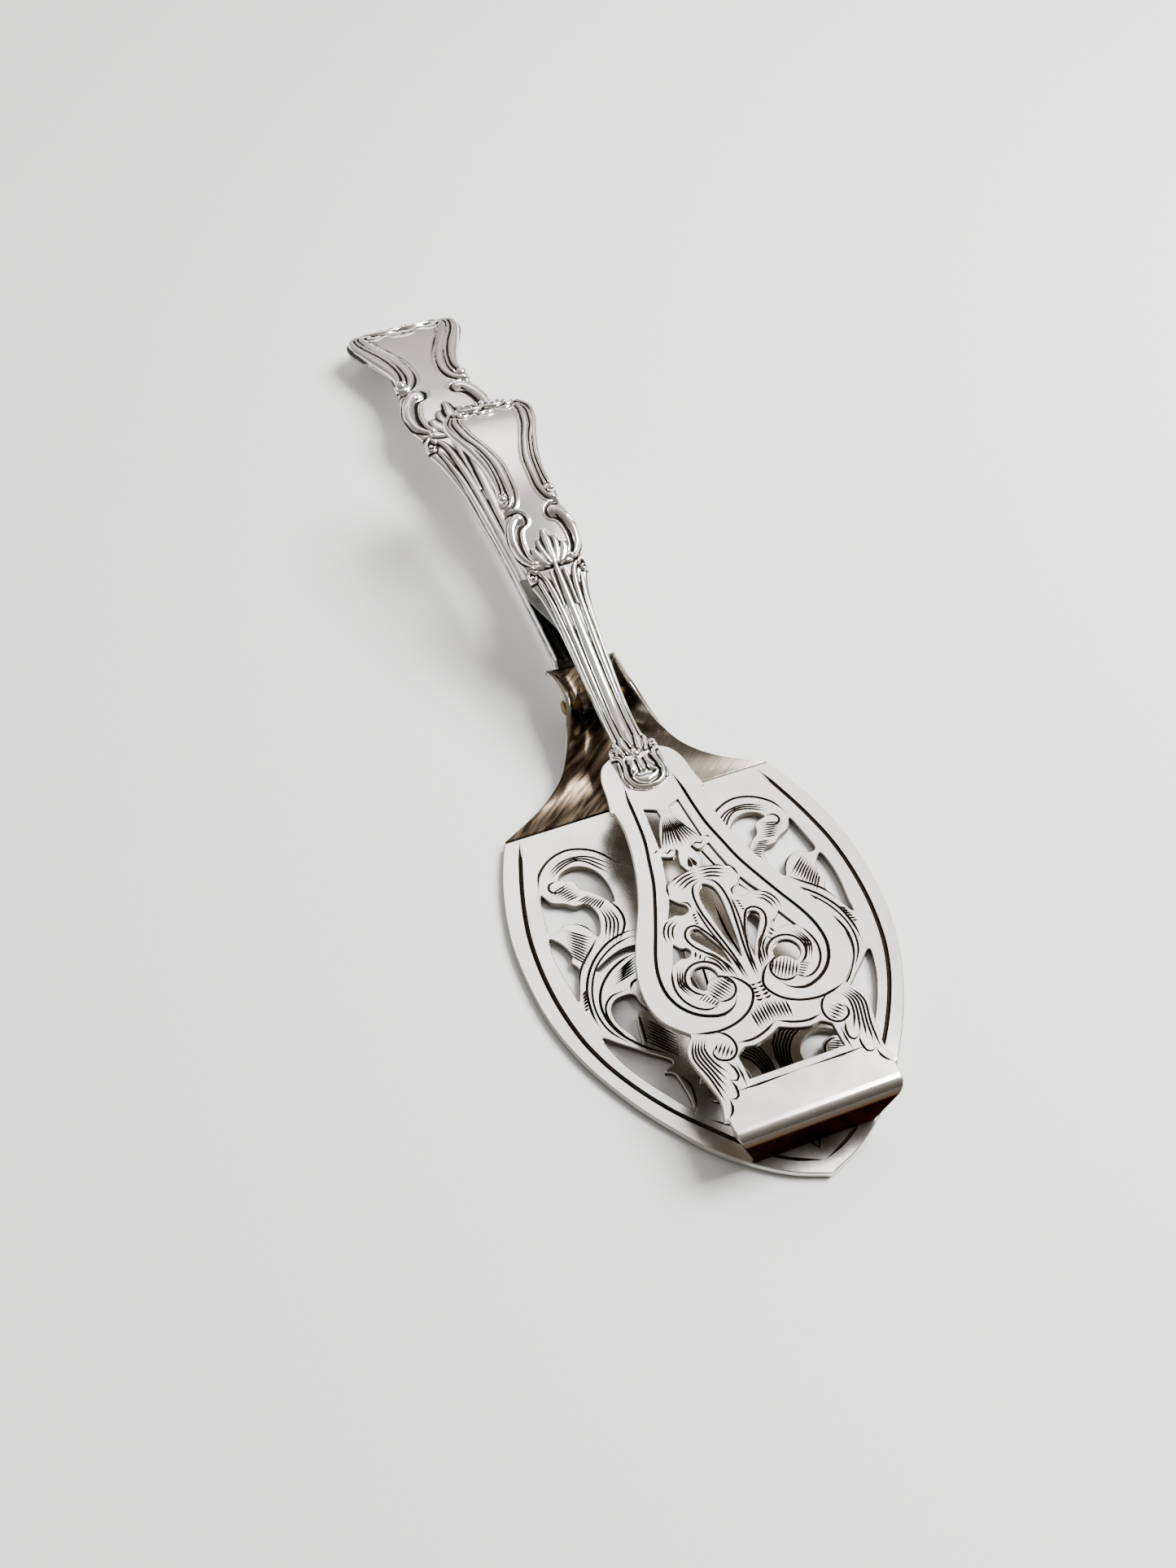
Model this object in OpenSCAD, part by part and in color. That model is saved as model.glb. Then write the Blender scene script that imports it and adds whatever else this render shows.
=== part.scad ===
// Sprung serving tongs in silver: a broad pierced lower blade with its long handle,
// and a smaller pierced upper blade on a short thumb handle, hinged in the shoulder
// of the lower blade and held shut by a leaf spring between the two handles.
// X runs from the handle end to the blade tip, Z is up, and the part lies on z = 0.

/* [Blades] */
// Thickness of the lower blade's sheet
lower_sheet = 1.2; // [1.0:0.05:1.3]
// Thickness of the upper blade's sheet
upper_sheet = 1.0; // [0.8:0.05:1.1]
// Height of the upper blade's top face above the table
upper_top = 12.6; // [12.5:0.05:12.8]
// Gap left under the turned-down lip when the tongs are shut
lip_gap = 0.2; // [0.1:0.05:0.5]

/* [Handles] */
// Narrowing of both handles' outlines
handle_scale = 1; // [0.94:0.01:1]
// Width of the leaf spring's seat on the lower handle
seat_w = 8.4; // [8:0.1:9]

/* [Hinge] */
// Distance of the hinge axis in front of the middle of the tongs
hinge_x = 15; // [14.8:0.1:15.2]
// Height of the hinge axis
hinge_z = 9; // [8.9:0.05:9.2]
// Diameter of the hinge pin
pin_d = 2.2; // [2.0:0.05:2.4]
// Radial clearance of the pin in the barrel
pin_clear = 0.04; // [0.02:0.01:0.08]
// Length of the hinge barrel
barrel_l = 8; // [7:0.1:8.2]
// Diameter of the pin's domed heads
pin_head_d = 3.3; // [3:0.1:3.6]

/* [Spring] */
// Thickness of the spring leaf
leaf_t = 0.7; // [0.5:0.05:0.8]
// Width of the spring leaf
leaf_w = 7.4; // [6:0.1:8]
// Diameter of the rivet through the leaf's foot
rivet_d = 2; // [1.6:0.1:2.4]
// Diameter of the rivet's head
rivet_head_d = 3.6; // [3:0.1:4]

/* [Hidden] */
$fn = 48;

// Clearance between soldered faces, and between a rivet and its hole
joint_gap = 0.02;
// Half the overall length
half_l = 125;
// Reach of a cutter or an extrusion past the solid that it meets
over = 1;

// Where the lower blade's flat part starts, at the fold
fold_x = 37.4;
fold_half_w = 28.5;

// Shoulder stations: x, half width, rim height, floor height, steepness of the wall
SHOULDER = [
    [5, 7.6, 10.2, 9.5, 2.5],
    [8, 6.5, 11.3, 8.5, 4],
    [12, 6.0, 12.0, 6.9, 5.5],
    [16, 6.3, 12.0, 5.8, 5.5],
    [21, 8.3, 8.6, 4.8, 4],
    [25, 10.7, 5.9, 3.4, 3],
    [29, 13.8, 4.0, 2.2, 2.5],
    [33, 19.5, 2.3, 1.5, 2],
    [fold_x, fold_half_w, lower_sheet, lower_sheet, 2]
];
shoulder_steps = 3;
shoulder_half_n = 9;

// Lower handle: half outline, and its profile from the side
LOWER_HALF = [
    [-half_l, 2], [-124, 9], [-121, 14], [-117, 14.6], [-110, 12], [-101, 8.9], [-95, 9.4],
    [-92, 9.1], [-86, 10.8], [-80, 10.9], [-74, 8.9], [-70, 9.4], [-64, 7.6], [-54, 5.8],
    [-43, 5.1], [-30, 4.3], [-20, 4.2], [0, 4.6], [6, 5.2], [12, 4.6], [19, 3.2], [25, 0.8]
];
LOWER_TOP = [
    [-half_l, 5.4], [-122, 7.4], [-116, 8.8], [-107, 9.9], [-97, 10.8], [-86, 11.6], [-74, 11.8],
    [-60, 11.3], [-45, 10.4], [-32, 9.7], [-24, 9.4], [-15, 9.4], [0, 9.3], [2.5, 8.4],
    [5, 8], [8, 7], [12, 5.4], [16, 4.3], [21, 3.2], [25, 1.9]
];
LOWER_UNDER = [
    [25, 1], [21, 0.6], [14, 1.6], [6, 3.8], [-4, 4.9], [-24, 5.2], [-45, 6.4], [-60, 7.4],
    [-76, 8], [-90, 7.6], [-102, 6], [-112, 3.4], [-119, 0.8], [-121, 0], [-123, 0],
    [-half_l, 1.2]
];

// Upper handle: half outline, and its profile from the side
UPPER_HALF = [
    [-59, 1.5], [-57.5, 4.4], [-54.5, 8.6], [-51, 10.2], [-47, 10], [-40, 7.8], [-33, 6.2],
    [-28, 6.1], [-25.5, 6.6], [-23, 6.2], [-18, 7.7], [-13, 7.3], [-10, 6.2], [-7.5, 6.5],
    [-3, 5.2], [4, 4.2], [13, 3.6], [22, 3.3], [30, 3.3], [33, 4.9], [38, 4.9], [42, 4.3],
    [43.8, 1.5]
];
UPPER_TOP = [
    [-59, 30.6], [-56, 32.2], [-50, 33.6], [-42, 33.9], [-34, 33.1], [-26, 31.5], [-18, 29.2],
    [-8, 25.7], [0, 22.9], [7, 20.5], [14, 18.1], [21, 16.1], [27, 14.9], [33, 14.5],
    [39, 14.3], [43.8, 13.6]
];
UPPER_UNDER = [
    [43.8, 12.62], [27, 12.62], [19, 13.6], [11, 16.3], [6, 18], [0, 20.1], [-8, 22.9],
    [-18, 26.4], [-26, 28.7], [-34, 30.3], [-42, 31.1], [-50, 30.9], [-56, 29.7], [-59, 28.8]
];

// Lower blade: half outline from the fold to the tip
LOWER_BLADE_HALF = [
    [fold_x - 0.1, fold_half_w - 0.1], [42, 30.6], [50, 33.3], [60, 35.3], [70, 35.6],
    [80, 34.6], [90, 31.7], [100, 26.9], [108, 21.7], [114, 17], [119, 11.4], [122.5, 6],
    [half_l, 0]
];
// Lower blade piercings on one side, mirrored to the other
LOWER_PIERCED = [
    [[58.5, 13.8], [55, 13.3], [51.3, 14], [48.9, 15.8], [47.9, 18.3], [48.5, 20.8],
     [50, 22], [50.4, 20.7], [51.2, 19.3], [53.3, 18.8], [54.6, 17.2], [56.3, 15.7]],
    [[57.2, 18.8], [60, 17.8], [63, 18.4], [64.8, 19.6], [62, 20.8], [60.6, 22.6],
     [60.2, 24.8], [61.2, 26.2], [60.8, 28], [56.5, 27.5], [52.2, 26.5], [54.4, 25.2],
     [55.6, 22.8], [56.8, 21.2]],
    [[62.3, 28.5], [66, 29.1], [70, 29], [74, 28.5], [77, 28.1], [72.5, 26.4],
     [70.4, 25.6], [68.6, 26.4], [67.4, 25.8], [65.5, 26.1], [63.6, 27]],
    [[86, 27], [88.3, 24.2], [91.5, 20.6], [94.8, 17], [96.4, 19.2], [97.8, 17.5],
     [104.8, 17.3], [100, 21], [95, 24], [90.5, 26]],
    [[78.9, 19.3], [79.2, 21.8], [81, 23.3], [84, 23.2], [87.5, 21.5], [89.5, 20.6],
     [86, 20], [83.2, 19], [83.2, 17.6], [84.3, 16], [81.5, 17.6], [79.5, 18]],
    [[69.4, 13.4], [69.2, 16.5], [70.3, 19.8], [72, 22.8], [72.4, 22.2], [71, 19],
     [70.4, 16], [70.6, 13.5]],
    [[103, 5.2], [100.5, 5.8], [98.7, 8], [98.4, 10.5], [99.5, 13], [101, 14.2],
     [100.4, 12], [101, 10], [102.5, 9], [104.5, 9.3], [106, 8], [105.5, 6]],
    [[69.2, 6.6], [70, 9.4], [73, 10.6], [78, 9.4], [83.5, 6.6], [78, 6.6], [73, 5.6]]
];

// Lip: front of the bend, foot of the turned-down flange, and the half widths of both
lip_front_x = 119.4;
lip_foot_x = 118.4;
lip_foot_half_w = 11.5;
lip_half_w = 15.6;
lip_corner = 1.2;
bend_r = 2.6;

// Upper blade: half outline from its rear edge to the lip
UPPER_BLADE_HALF = [
    [33.4, 3], [34, 5.4], [35.6, 7.4], [38.4, 8.6], [43, 9.2], [46.4, 9.8], [47.4, 9.1],
    [52, 9], [60, 10.4], [68, 13], [76, 16.8], [82, 19], [88, 19.8], [93, 18.6], [96.8, 15.2],
    [98.4, 15.6], [101.4, 17.3], [107, 16], [112, lip_half_w]
];
// Upper blade piercings on one side, mirrored to the other
UPPER_PIERCED = [
    [[47.9, 3.6], [53, 4], [57.6, 4.3], [54.5, 3.2], [52, 2], [50.4, 1.3], [48.7, 1.5]],
    [[59, 1.8], [60.4, 2.6], [59.8, 4.9], [63, 5.5], [66.2, 6.1], [64.9, 4.4], [64.4, 1.6],
     [62, 2.3]],
    [[69.1, 7.2], [71.3, 8.1], [73.2, 9.1], [72.7, 7.6], [73.2, 6], [72.6, 4.9],
     [71.6, 5], [70.7, 5.9]],
    [[76.9, 5.6], [77.5, 6.7], [78.8, 6.7], [81, 5.3], [83.8, 3.4], [86.3, 2.2],
     [82.5, 2.6], [79, 4.1], [77.4, 4.8]],
    [[78.7, 10.5], [80, 9.4], [80.4, 8.4], [81.4, 8.2], [82.2, 9.3], [81.9, 10.4],
     [82.7, 12.2]]
];
// Upper blade piercings on the middle line: the teardrop and the window
TEARDROP_HALF = [[68.2, 0.2], [69.4, 1.4], [72, 1.8], [76, 1.5], [81, 0.9], [85.2, 0.2]];
WINDOW_HALF = [[101.3, 0.1], [102.3, 2.6], [103, 5.2], [102.8, 7.6], [104, 9]];
window_front_x = 108.8;
// Scroll eye of the upper blade, and the hatched disc that closes part of it
eye_at = [87.3, 8.1];
eye_r = 2.5;
disc_at = [90.4, 6.2];
disc_r = 2.6;

// Leaf spring: its middle line from the riveted foot to its free end
LEAF_LINE = [
    [-22, 9.85], [-17.2, 9.85], [-14.4, 10.5], [-12, 11.5], [-8, 13.4], [-4, 15.4], [0, 17.3],
    [3.6, 18.4]
];
rivet_x = -19.2;
rivet_depth = 3;
rivet_head_h = 0.9;

// Hinge: where the pin's heads start, their height, and the web above the barrel
head_start = 7.25;
pin_head_h = 0.8;
barrel_d = 4.2;
web_t = 6;
web_tuck = 0.1;

// A point of the smooth curve through b and c, with a and d on either side
function spline(a, b, c, d, t) =
    0.5 * (2 * b + (c - a) * t + (2 * a - 5 * b + 4 * c - d) * t * t
    + (3 * b - a - 3 * c + d) * t * t * t);

// Smooth open curve through the points p, with n steps between them
function curve(p, n) = concat(
    [for (i = [0:len(p) - 2]) for (k = [0:n - 1])
        spline(p[max(i - 1, 0)], p[i], p[i + 1], p[min(i + 2, len(p) - 1)], k / n)],
    [p[len(p) - 1]]
);

// Smooth closed curve through the points p
function ring(p, n) =
    [for (i = [0:len(p) - 1]) for (k = [0:n - 1])
        spline(p[(i + len(p) - 1) % len(p)], p[i], p[(i + 1) % len(p)], p[(i + 2) % len(p)], k / n)];

// A half outline joined to its mirror image across the middle line
function both_sides(p) = concat(p, [for (i = [len(p) - 1:-1:0]) [p[i].x, -p[i].y]]);

// Extrudes an x-z profile across y, centred on the middle line
module across(width) {
    translate([0, width / 2, 0])
        rotate([90, 0, 0])
            linear_extrude(width)
                children();
}

// A pair of shapes, one on each side of the middle line
module on_both_sides() {
    children();
    mirror([0, 1, 0])
        children();
}

// A handle: its outline seen from above, cut to its profile seen from the side
module handle(half, top, under, steps) {
    intersection() {
        linear_extrude(40)
            polygon(both_sides([for (q = curve(half, steps)) [q.x, q.y * handle_scale]]));
        across(40)
            polygon(concat(curve(top, steps), under));
    }
}

module rivet_hole(depth) {
    translate([rivet_x, 0, LEAF_LINE[0].y - depth])
        cylinder(d = rivet_d, h = depth + over);
}

module lower_handle() {
    color("gainsboro")
        difference() {
            handle(LOWER_HALF, LOWER_TOP, LOWER_UNDER, 3);
            rivet_hole(rivet_depth + leaf_t / 2);
        }
}

// Half-section point of the shoulder: u runs from -1 at one rim to 1 at the other
function shoulder_z(s, u) = s[3] + (s[2] - s[3]) * pow(abs(u), s[4]);
function shoulder_slope(s, u) =
    (s[2] - s[3]) * s[4] * pow(abs(u), s[4] - 1) / s[1] * sign(u);
function shoulder_inner(s, u) = [s[0], s[1] * u, shoulder_z(s, u)];
function shoulder_outer(s, u) =
    let (k = shoulder_slope(s, u), n = lower_sheet / sqrt(1 + k * k))
        [s[0], s[1] * u + n * k, shoulder_z(s, u) - n];

// The shoulder: a trough of sheet that opens from the neck out to the straight fold
module shoulder() {
    stations = curve(SHOULDER, shoulder_steps);
    m = shoulder_half_n;
    row = 2 * m + 1;
    loop = 2 * row;
    last = len(stations) - 1;
    points = [for (s = stations) each concat(
        [for (j = [-m:m]) shoulder_inner(s, sin(90 * j / m))],
        [for (j = [m:-1:-m]) shoulder_outer(s, sin(90 * j / m))]
    )];
    walls = [for (i = [0:last - 1]) for (j = [0:loop - 1])
        let (a = i * loop + j, b = i * loop + (j + 1) % loop)
            each [[a, b, b + loop], [a, b + loop, a + loop]]];
    rear = [for (j = [0:row - 2])
        let (a = j, b = j + 1, c = loop - 2 - j, d = loop - 1 - j)
            each [[a, c, b], [a, d, c]]];
    front = [for (f = rear) [f[2] + last * loop, f[1] + last * loop, f[0] + last * loop]];
    polyhedron(points, concat(walls, rear, front), convexity = 6);
}

module hinge_bore(diameter, length) {
    translate([hinge_x, length / 2, hinge_z])
        rotate([90, 0, 0])
            cylinder(d = diameter, h = length);
}

module lower_blade() {
    color("whitesmoke")
        difference() {
            union() {
                shoulder();
                linear_extrude(lower_sheet)
                    difference() {
                        polygon(both_sides(curve(LOWER_BLADE_HALF, 3)));
                        on_both_sides()
                            for (p = LOWER_PIERCED)
                                polygon(ring(p, 2));
                    }
            }
            hinge_bore(pin_d, 30);
        }
}

module upper_handle() {
    color("gainsboro")
        handle(UPPER_HALF, UPPER_TOP, UPPER_UNDER, 3);
}

// Side profile of the upper blade: the flat plate, the bend and the flange below it
function upper_blade_profile() =
    let (
        c = [lip_front_x - bend_r, upper_top - bend_r],
        foot_z = lower_sheet + lip_gap,
        rear_x = UPPER_BLADE_HALF[0].x - over
    )
        concat(
            [[rear_x, upper_top - upper_sheet], [rear_x, upper_top]],
            [for (a = [90:-15:0]) c + bend_r * [cos(a), sin(a)]],
            [[lip_foot_x, foot_z], [lip_foot_x - upper_sheet, foot_z]],
            [for (a = [0:15:90]) c + (bend_r - upper_sheet) * [cos(a), sin(a)]]
        );

// What is cut off one side of the flange, so that it narrows towards its foot
module lip_taper() {
    translate([lip_foot_x - bend_r, 0, 0])
        rotate([90, 0, 90])
            linear_extrude(2 * bend_r)
                polygon([
                    [lip_foot_half_w, 0],
                    [lip_half_w - lip_corner, upper_top - bend_r],
                    [lip_half_w + lip_corner, upper_top - upper_sheet / 2],
                    [lip_half_w + 2 * lip_corner, 0]
                ]);
}

module upper_piercings() {
    on_both_sides() {
        for (p = UPPER_PIERCED)
            polygon(ring(p, 2));
        difference() {
            translate(eye_at)
                circle(eye_r);
            translate(disc_at)
                circle(disc_r);
        }
    }
    polygon(both_sides(curve(TEARDROP_HALF, 3)));
    polygon(both_sides(concat(curve(WINDOW_HALF, 2), [[window_front_x, WINDOW_HALF[4].y]])));
}

module upper_blade() {
    color("whitesmoke")
        difference() {
            intersection() {
                across(60)
                    polygon(upper_blade_profile());
                linear_extrude(20)
                    difference() {
                        polygon(both_sides(concat(
                            curve(UPPER_BLADE_HALF, 3),
                            [[lip_front_x + over, lip_half_w]]
                        )));
                        upper_piercings();
                    }
            }
            on_both_sides()
                lip_taper();
        }
}

// Height of the upper handle's underside over the hinge
function stem_under(x) = lookup(x, [[11, 16.3], [19, 13.6]]) - joint_gap;

module hinge_lug() {
    r = barrel_d / 2;
    color("silver")
        difference() {
            union() {
                translate([hinge_x, barrel_l / 2, hinge_z])
                    rotate([90, 0, 0])
                        cylinder(d = barrel_d, h = barrel_l);
                across(web_t)
                    polygon([
                        [11.4, stem_under(11.4)],
                        [hinge_x - r + web_tuck, hinge_z],
                        [hinge_x + r - web_tuck, hinge_z],
                        [18.6, stem_under(18.6)]
                    ]);
            }
            hinge_bore(pin_d + 2 * pin_clear, 30);
        }
}

// A low domed head, turned about Z and standing on z = 0
module domed_head(diameter, height) {
    rotate_extrude()
        polygon(concat(
            [[0, 0]],
            [for (a = [0:15:90]) [diameter / 2 * cos(a), height * sin(a)]]
        ));
}

module hinge_pin() {
    color("darkkhaki")
        union() {
            hinge_bore(pin_d, 2 * head_start + 0.2);
            on_both_sides()
                translate([hinge_x, head_start, hinge_z])
                    rotate([-90, 0, 0])
                        domed_head(pin_head_d, pin_head_h);
        }
}

// The leaf's two faces: its middle line moved half the thickness to either side
function leaf_face(side) =
    let (p = curve(LEAF_LINE, 3), last = len(p) - 1)
        [for (i = [0:last])
            let (d = p[min(i + 1, last)] - p[max(i - 1, 0)])
                p[i] + side * leaf_t / 2 * [-d.y, d.x] / norm(d)];

module leaf_spring() {
    far = leaf_face(1);
    near = leaf_face(-1);
    color("dimgray")
        difference() {
            across(leaf_w)
                polygon(concat(far, [for (i = [len(near) - 1:-1:0]) near[i]]));
            rivet_hole(over);
        }
}

module spring_rivet() {
    color("darkkhaki")
        union() {
            translate([rivet_x, 0, LEAF_LINE[0].y - leaf_t / 2 - rivet_depth + joint_gap])
                cylinder(d = rivet_d - 2 * joint_gap, h = rivet_depth + leaf_t + 0.1);
            translate([rivet_x, 0, LEAF_LINE[0].y + leaf_t / 2 + joint_gap])
                domed_head(rivet_head_d, rivet_head_h);
        }
}

lower_handle();
lower_blade();
upper_handle();
upper_blade();
hinge_lug();
hinge_pin();
leaf_spring();
spring_rivet();
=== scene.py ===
import math

import bpy
import numpy as np
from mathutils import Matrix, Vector
from mathutils.geometry import delaunay_2d_cdt


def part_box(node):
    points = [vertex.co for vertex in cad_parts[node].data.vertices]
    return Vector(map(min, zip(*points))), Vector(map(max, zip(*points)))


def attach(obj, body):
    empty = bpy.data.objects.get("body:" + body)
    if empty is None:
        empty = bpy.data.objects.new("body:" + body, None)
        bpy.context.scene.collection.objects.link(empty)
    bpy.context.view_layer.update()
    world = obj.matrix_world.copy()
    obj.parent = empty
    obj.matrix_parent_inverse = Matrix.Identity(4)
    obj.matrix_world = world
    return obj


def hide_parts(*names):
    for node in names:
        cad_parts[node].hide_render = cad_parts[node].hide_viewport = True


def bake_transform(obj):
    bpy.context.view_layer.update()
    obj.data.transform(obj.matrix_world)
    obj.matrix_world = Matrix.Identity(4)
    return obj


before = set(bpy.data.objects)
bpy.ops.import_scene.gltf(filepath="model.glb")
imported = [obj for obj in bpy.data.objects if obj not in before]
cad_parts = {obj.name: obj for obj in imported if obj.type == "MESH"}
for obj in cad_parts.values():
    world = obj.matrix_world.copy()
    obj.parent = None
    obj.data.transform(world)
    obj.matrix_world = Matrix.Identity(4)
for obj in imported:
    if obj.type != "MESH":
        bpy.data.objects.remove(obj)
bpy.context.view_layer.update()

MM = 0.001


def mesh_of(name, points, edges, faces):
    """A mesh of points in mm."""
    mesh = bpy.data.meshes.new(name)
    mesh.from_pydata((np.asarray(points) * MM).tolist(), edges, faces)
    mesh.update()
    return mesh


def added(name, data):
    """A new object in the scene."""
    made = bpy.data.objects.new(name, data)
    bpy.context.collection.objects.link(made)
    return made


# ---- Lower blade ----
# A broad leaf of rolled silver sheet, saw-pierced with scrollwork and engraved by hand.
# Behind the straight fold the same sheet rises into a trough, the shoulder, which is
# soldered over the front end of the long handle and carries the hinge pin.

blade_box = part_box("lower_blade")
LOWER_TOP = 1.2
LOWER_SHEET = 1.2
FOLD_X = 37.4
FOLD_HALF = 28.5
TIP_X = blade_box[1][0] / MM

# Sawing and engraving: how far in a sheet's edges are eased, how steep the sides of a cut
# are, how much a stroke spreads on each side, and how wide its blunt ends stay.
EDGE_ROUND = 0.16
CUT_SLOPE = 0.8
STROKE_SPREAD = 0.12
BLUNT_END = 0.12

# Finishes of a sheet's faces, by their place in its list of materials.
FACE, CUT, BROWN = 0, 1, 2


def smooth(points, step=0.7, closed=False):
    """Points along the smooth curve through a few given ones, about step mm apart."""
    p = np.array(points, float)
    n = len(p)
    out = []
    for i in range(n if closed else n - 1):
        if closed:
            a, b, c, d = (p[(i + k) % n] for k in (-1, 0, 1, 2))
        else:
            a, b, c, d = p[max(i - 1, 0)], p[i], p[i + 1], p[min(i + 2, n - 1)]
        count = max(1, int(round(np.linalg.norm(c - b) / step)))
        t = (np.arange(count) / count)[:, None]
        out.append(0.5 * (2 * b + (c - a) * t + (2 * a - 5 * b + 4 * c - d) * t**2
                          + (3 * b - a - 3 * c + d) * t**3))
    if not closed:
        out.append(p[-1:])
    return np.vstack(out)


def arc(centre, radius, start, end, step=0.5):
    """Points on an arc, angles in degrees from +X towards +Y."""
    count = max(3, int(abs(math.radians(end - start)) * radius / step) + 2)
    a = np.radians(np.linspace(start, end, count))
    return np.c_[centre[0] + radius * np.cos(a), centre[1] + radius * np.sin(a)]


def mirrored(points):
    """Points carried over to the other side of the middle line."""
    return np.asarray(points, float) * (1, -1)


def both_sides(half):
    """A closed outline from its half at y >= 0, which runs from one end to the other."""
    half = np.asarray(half, float)
    return np.vstack([half, mirrored(half[::-1])])


def cut(path, width, taper=1.6):
    """One stroke of the graver: its middle line and the half width at each of its points."""
    path = np.asarray(path, float)
    along = np.r_[0, np.cumsum(np.linalg.norm(np.diff(path, axis=0), axis=1))]
    from_end = np.minimum(along, along[-1] - along)
    slimming = np.clip(from_end / min(taper, along[-1] / 3), BLUNT_END, 1)
    return path, (STROKE_SPREAD + width / 2) * slimming


def line(points, width, taper=1.6):
    """One stroke along the smooth curve through a few given points."""
    return cut(smooth(points), width, taper)


def shading(first, last, count, width, step=1.0):
    """A fan of fine strokes that passes evenly from one curve to another."""
    a, b = smooth(first, 0.5), smooth(last, 0.5)
    m = max(4, int(np.linalg.norm(a[-1] - a[0]) / step) + 2)
    grid = [np.array([q[int(round(k))] for k in np.linspace(0, len(q) - 1, m)]) for q in (a, b)]
    return [cut(grid[0] + (grid[1] - grid[0]) * k, width, 2.5) for k in np.linspace(0, 1, count)]


def disc_hatch(centre, radius, angle, count, width):
    """Parallel strokes that fill a disc."""
    along = np.array([math.cos(math.radians(angle)), math.sin(math.radians(angle))])
    across = np.array([-along[1], along[0]])
    strokes = []
    for k in np.linspace(-0.82, 0.82, count):
        reach = radius * math.sqrt(1 - k * k) * 0.94
        middle = np.array(centre) + across * k * radius
        strokes.append(cut([middle - along * reach, middle, middle + along * reach], width, 0.6))
    return strokes


def inset(loop, distance):
    """A closed outline moved to its left by a distance."""
    ahead = np.roll(loop, -1, 0) - loop
    behind = loop - np.roll(loop, 1, 0)
    tangent = ahead / np.linalg.norm(ahead, axis=1)[:, None]
    tangent = tangent + behind / np.linalg.norm(behind, axis=1)[:, None]
    tangent /= np.maximum(np.linalg.norm(tangent, axis=1), 1e-6)[:, None]
    return loop + distance * np.c_[-tangent[:, 1], tangent[:, 0]]


def without_repeats(loop):
    """A closed outline with no point twice in a row."""
    loop = np.asarray(loop, float)
    return loop[np.linalg.norm(loop - np.roll(loop, 1, 0), axis=1) > 1e-3]


def turned(loop, counter_clockwise):
    """A closed outline, turned round if it runs the wrong way."""
    x, y = loop[:, 0], loop[:, 1]
    area = np.sum(x * np.roll(y, -1) - np.roll(x, -1) * y)
    return loop if (area > 0) == counter_clockwise else loop[::-1]


def distance_to(points, path, closed):
    """Distance of each point to a polyline, and where along it the nearest spot lies."""
    a = path
    b = np.roll(path, -1, 0)
    if not closed:
        a, b = a[:-1], b[:-1]
    ab = b - a
    t = ((points[:, None] - a) * ab).sum(2) / np.maximum((ab * ab).sum(1), 1e-12)
    t = np.clip(t, 0, 1)
    d = np.linalg.norm(points[:, None] - (a + ab * t[..., None]), axis=2)
    nearest = d.argmin(1)
    rows = np.arange(len(points))
    return d[rows, nearest], nearest + t[rows, nearest]


def engraved_plate(outline, holes, strokes, rulings=()):
    """A flat sheet with its edges eased and V-shaped cuts in its face.

    Returns its points as x, y and depth below the face, its triangles on the face, which
    of those lie in a cut, its rim edges, each with the metal on its left, and its outline.
    """
    loops = [turned(without_repeats(outline), True)]
    loops += [turned(without_repeats(h), False) for h in holes]
    verts, edges, faces = [], [], []

    def add(points, closed):
        start = len(verts)
        verts.extend(Vector((float(x), float(y))) for x, y in points)
        ids = list(range(start, len(verts)))
        edges.extend(zip(ids[:-1], ids[1:]))
        if closed:
            edges.append((ids[-1], ids[0]))
        return ids

    for loop in loops:
        add(inset(loop, EDGE_ROUND), True)
        faces.append(add(turned(loop, True), True))
    for path, half in strokes:
        tangent = np.gradient(path, axis=0)
        tangent /= np.maximum(np.linalg.norm(tangent, axis=1), 1e-9)[:, None]
        side = np.c_[-tangent[:, 1], tangent[:, 0]] * half[:, None]
        add(np.vstack([path + side, (path - side)[::-1]]), True)
        add(path, False)
    for ruling in rulings:
        add(ruling, False)

    out, _, tris, _, _, inside = delaunay_2d_cdt(verts, edges, faces, 0, 1e-5, True)
    xy = np.array([v[:] for v in out])
    solid = np.array([t for t, ids in zip(tris, inside) if len(ids) == 1 and ids[0] == 0])
    middle = xy[solid].mean(1)
    in_cut = np.zeros(len(solid), bool)

    depth = np.zeros(len(xy))
    for path, half in strokes:
        low, high = path.min(0) - 1, path.max(0) + 1
        for spots in (xy, middle):
            near = np.nonzero(((spots > low) & (spots < high)).all(1))[0]
            d, spot = distance_to(spots[near], path, False)
            below = np.clip(np.interp(spot, np.arange(len(half)), half) - d, 0, None)
            if spots is xy:
                depth[near] = np.maximum(depth[near], below * CUT_SLOPE)
            else:
                in_cut[near] |= below > 0
    for loop in loops:
        for part in np.array_split(np.arange(len(xy)), max(1, len(xy) // 4000)):
            d, _ = distance_to(xy[part], loop, True)
            eased = np.clip(EDGE_ROUND - d, 0, None) * CUT_SLOPE
            depth[part] = np.maximum(depth[part], eased)

    rim = {}
    for a, b, c in solid:
        for e in ((a, b), (b, c), (c, a)):
            if (e[1], e[0]) in rim:
                del rim[(e[1], e[0])]
            else:
                rim[e] = True
    return xy, depth, solid, in_cut, list(rim), loops[0]


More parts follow.
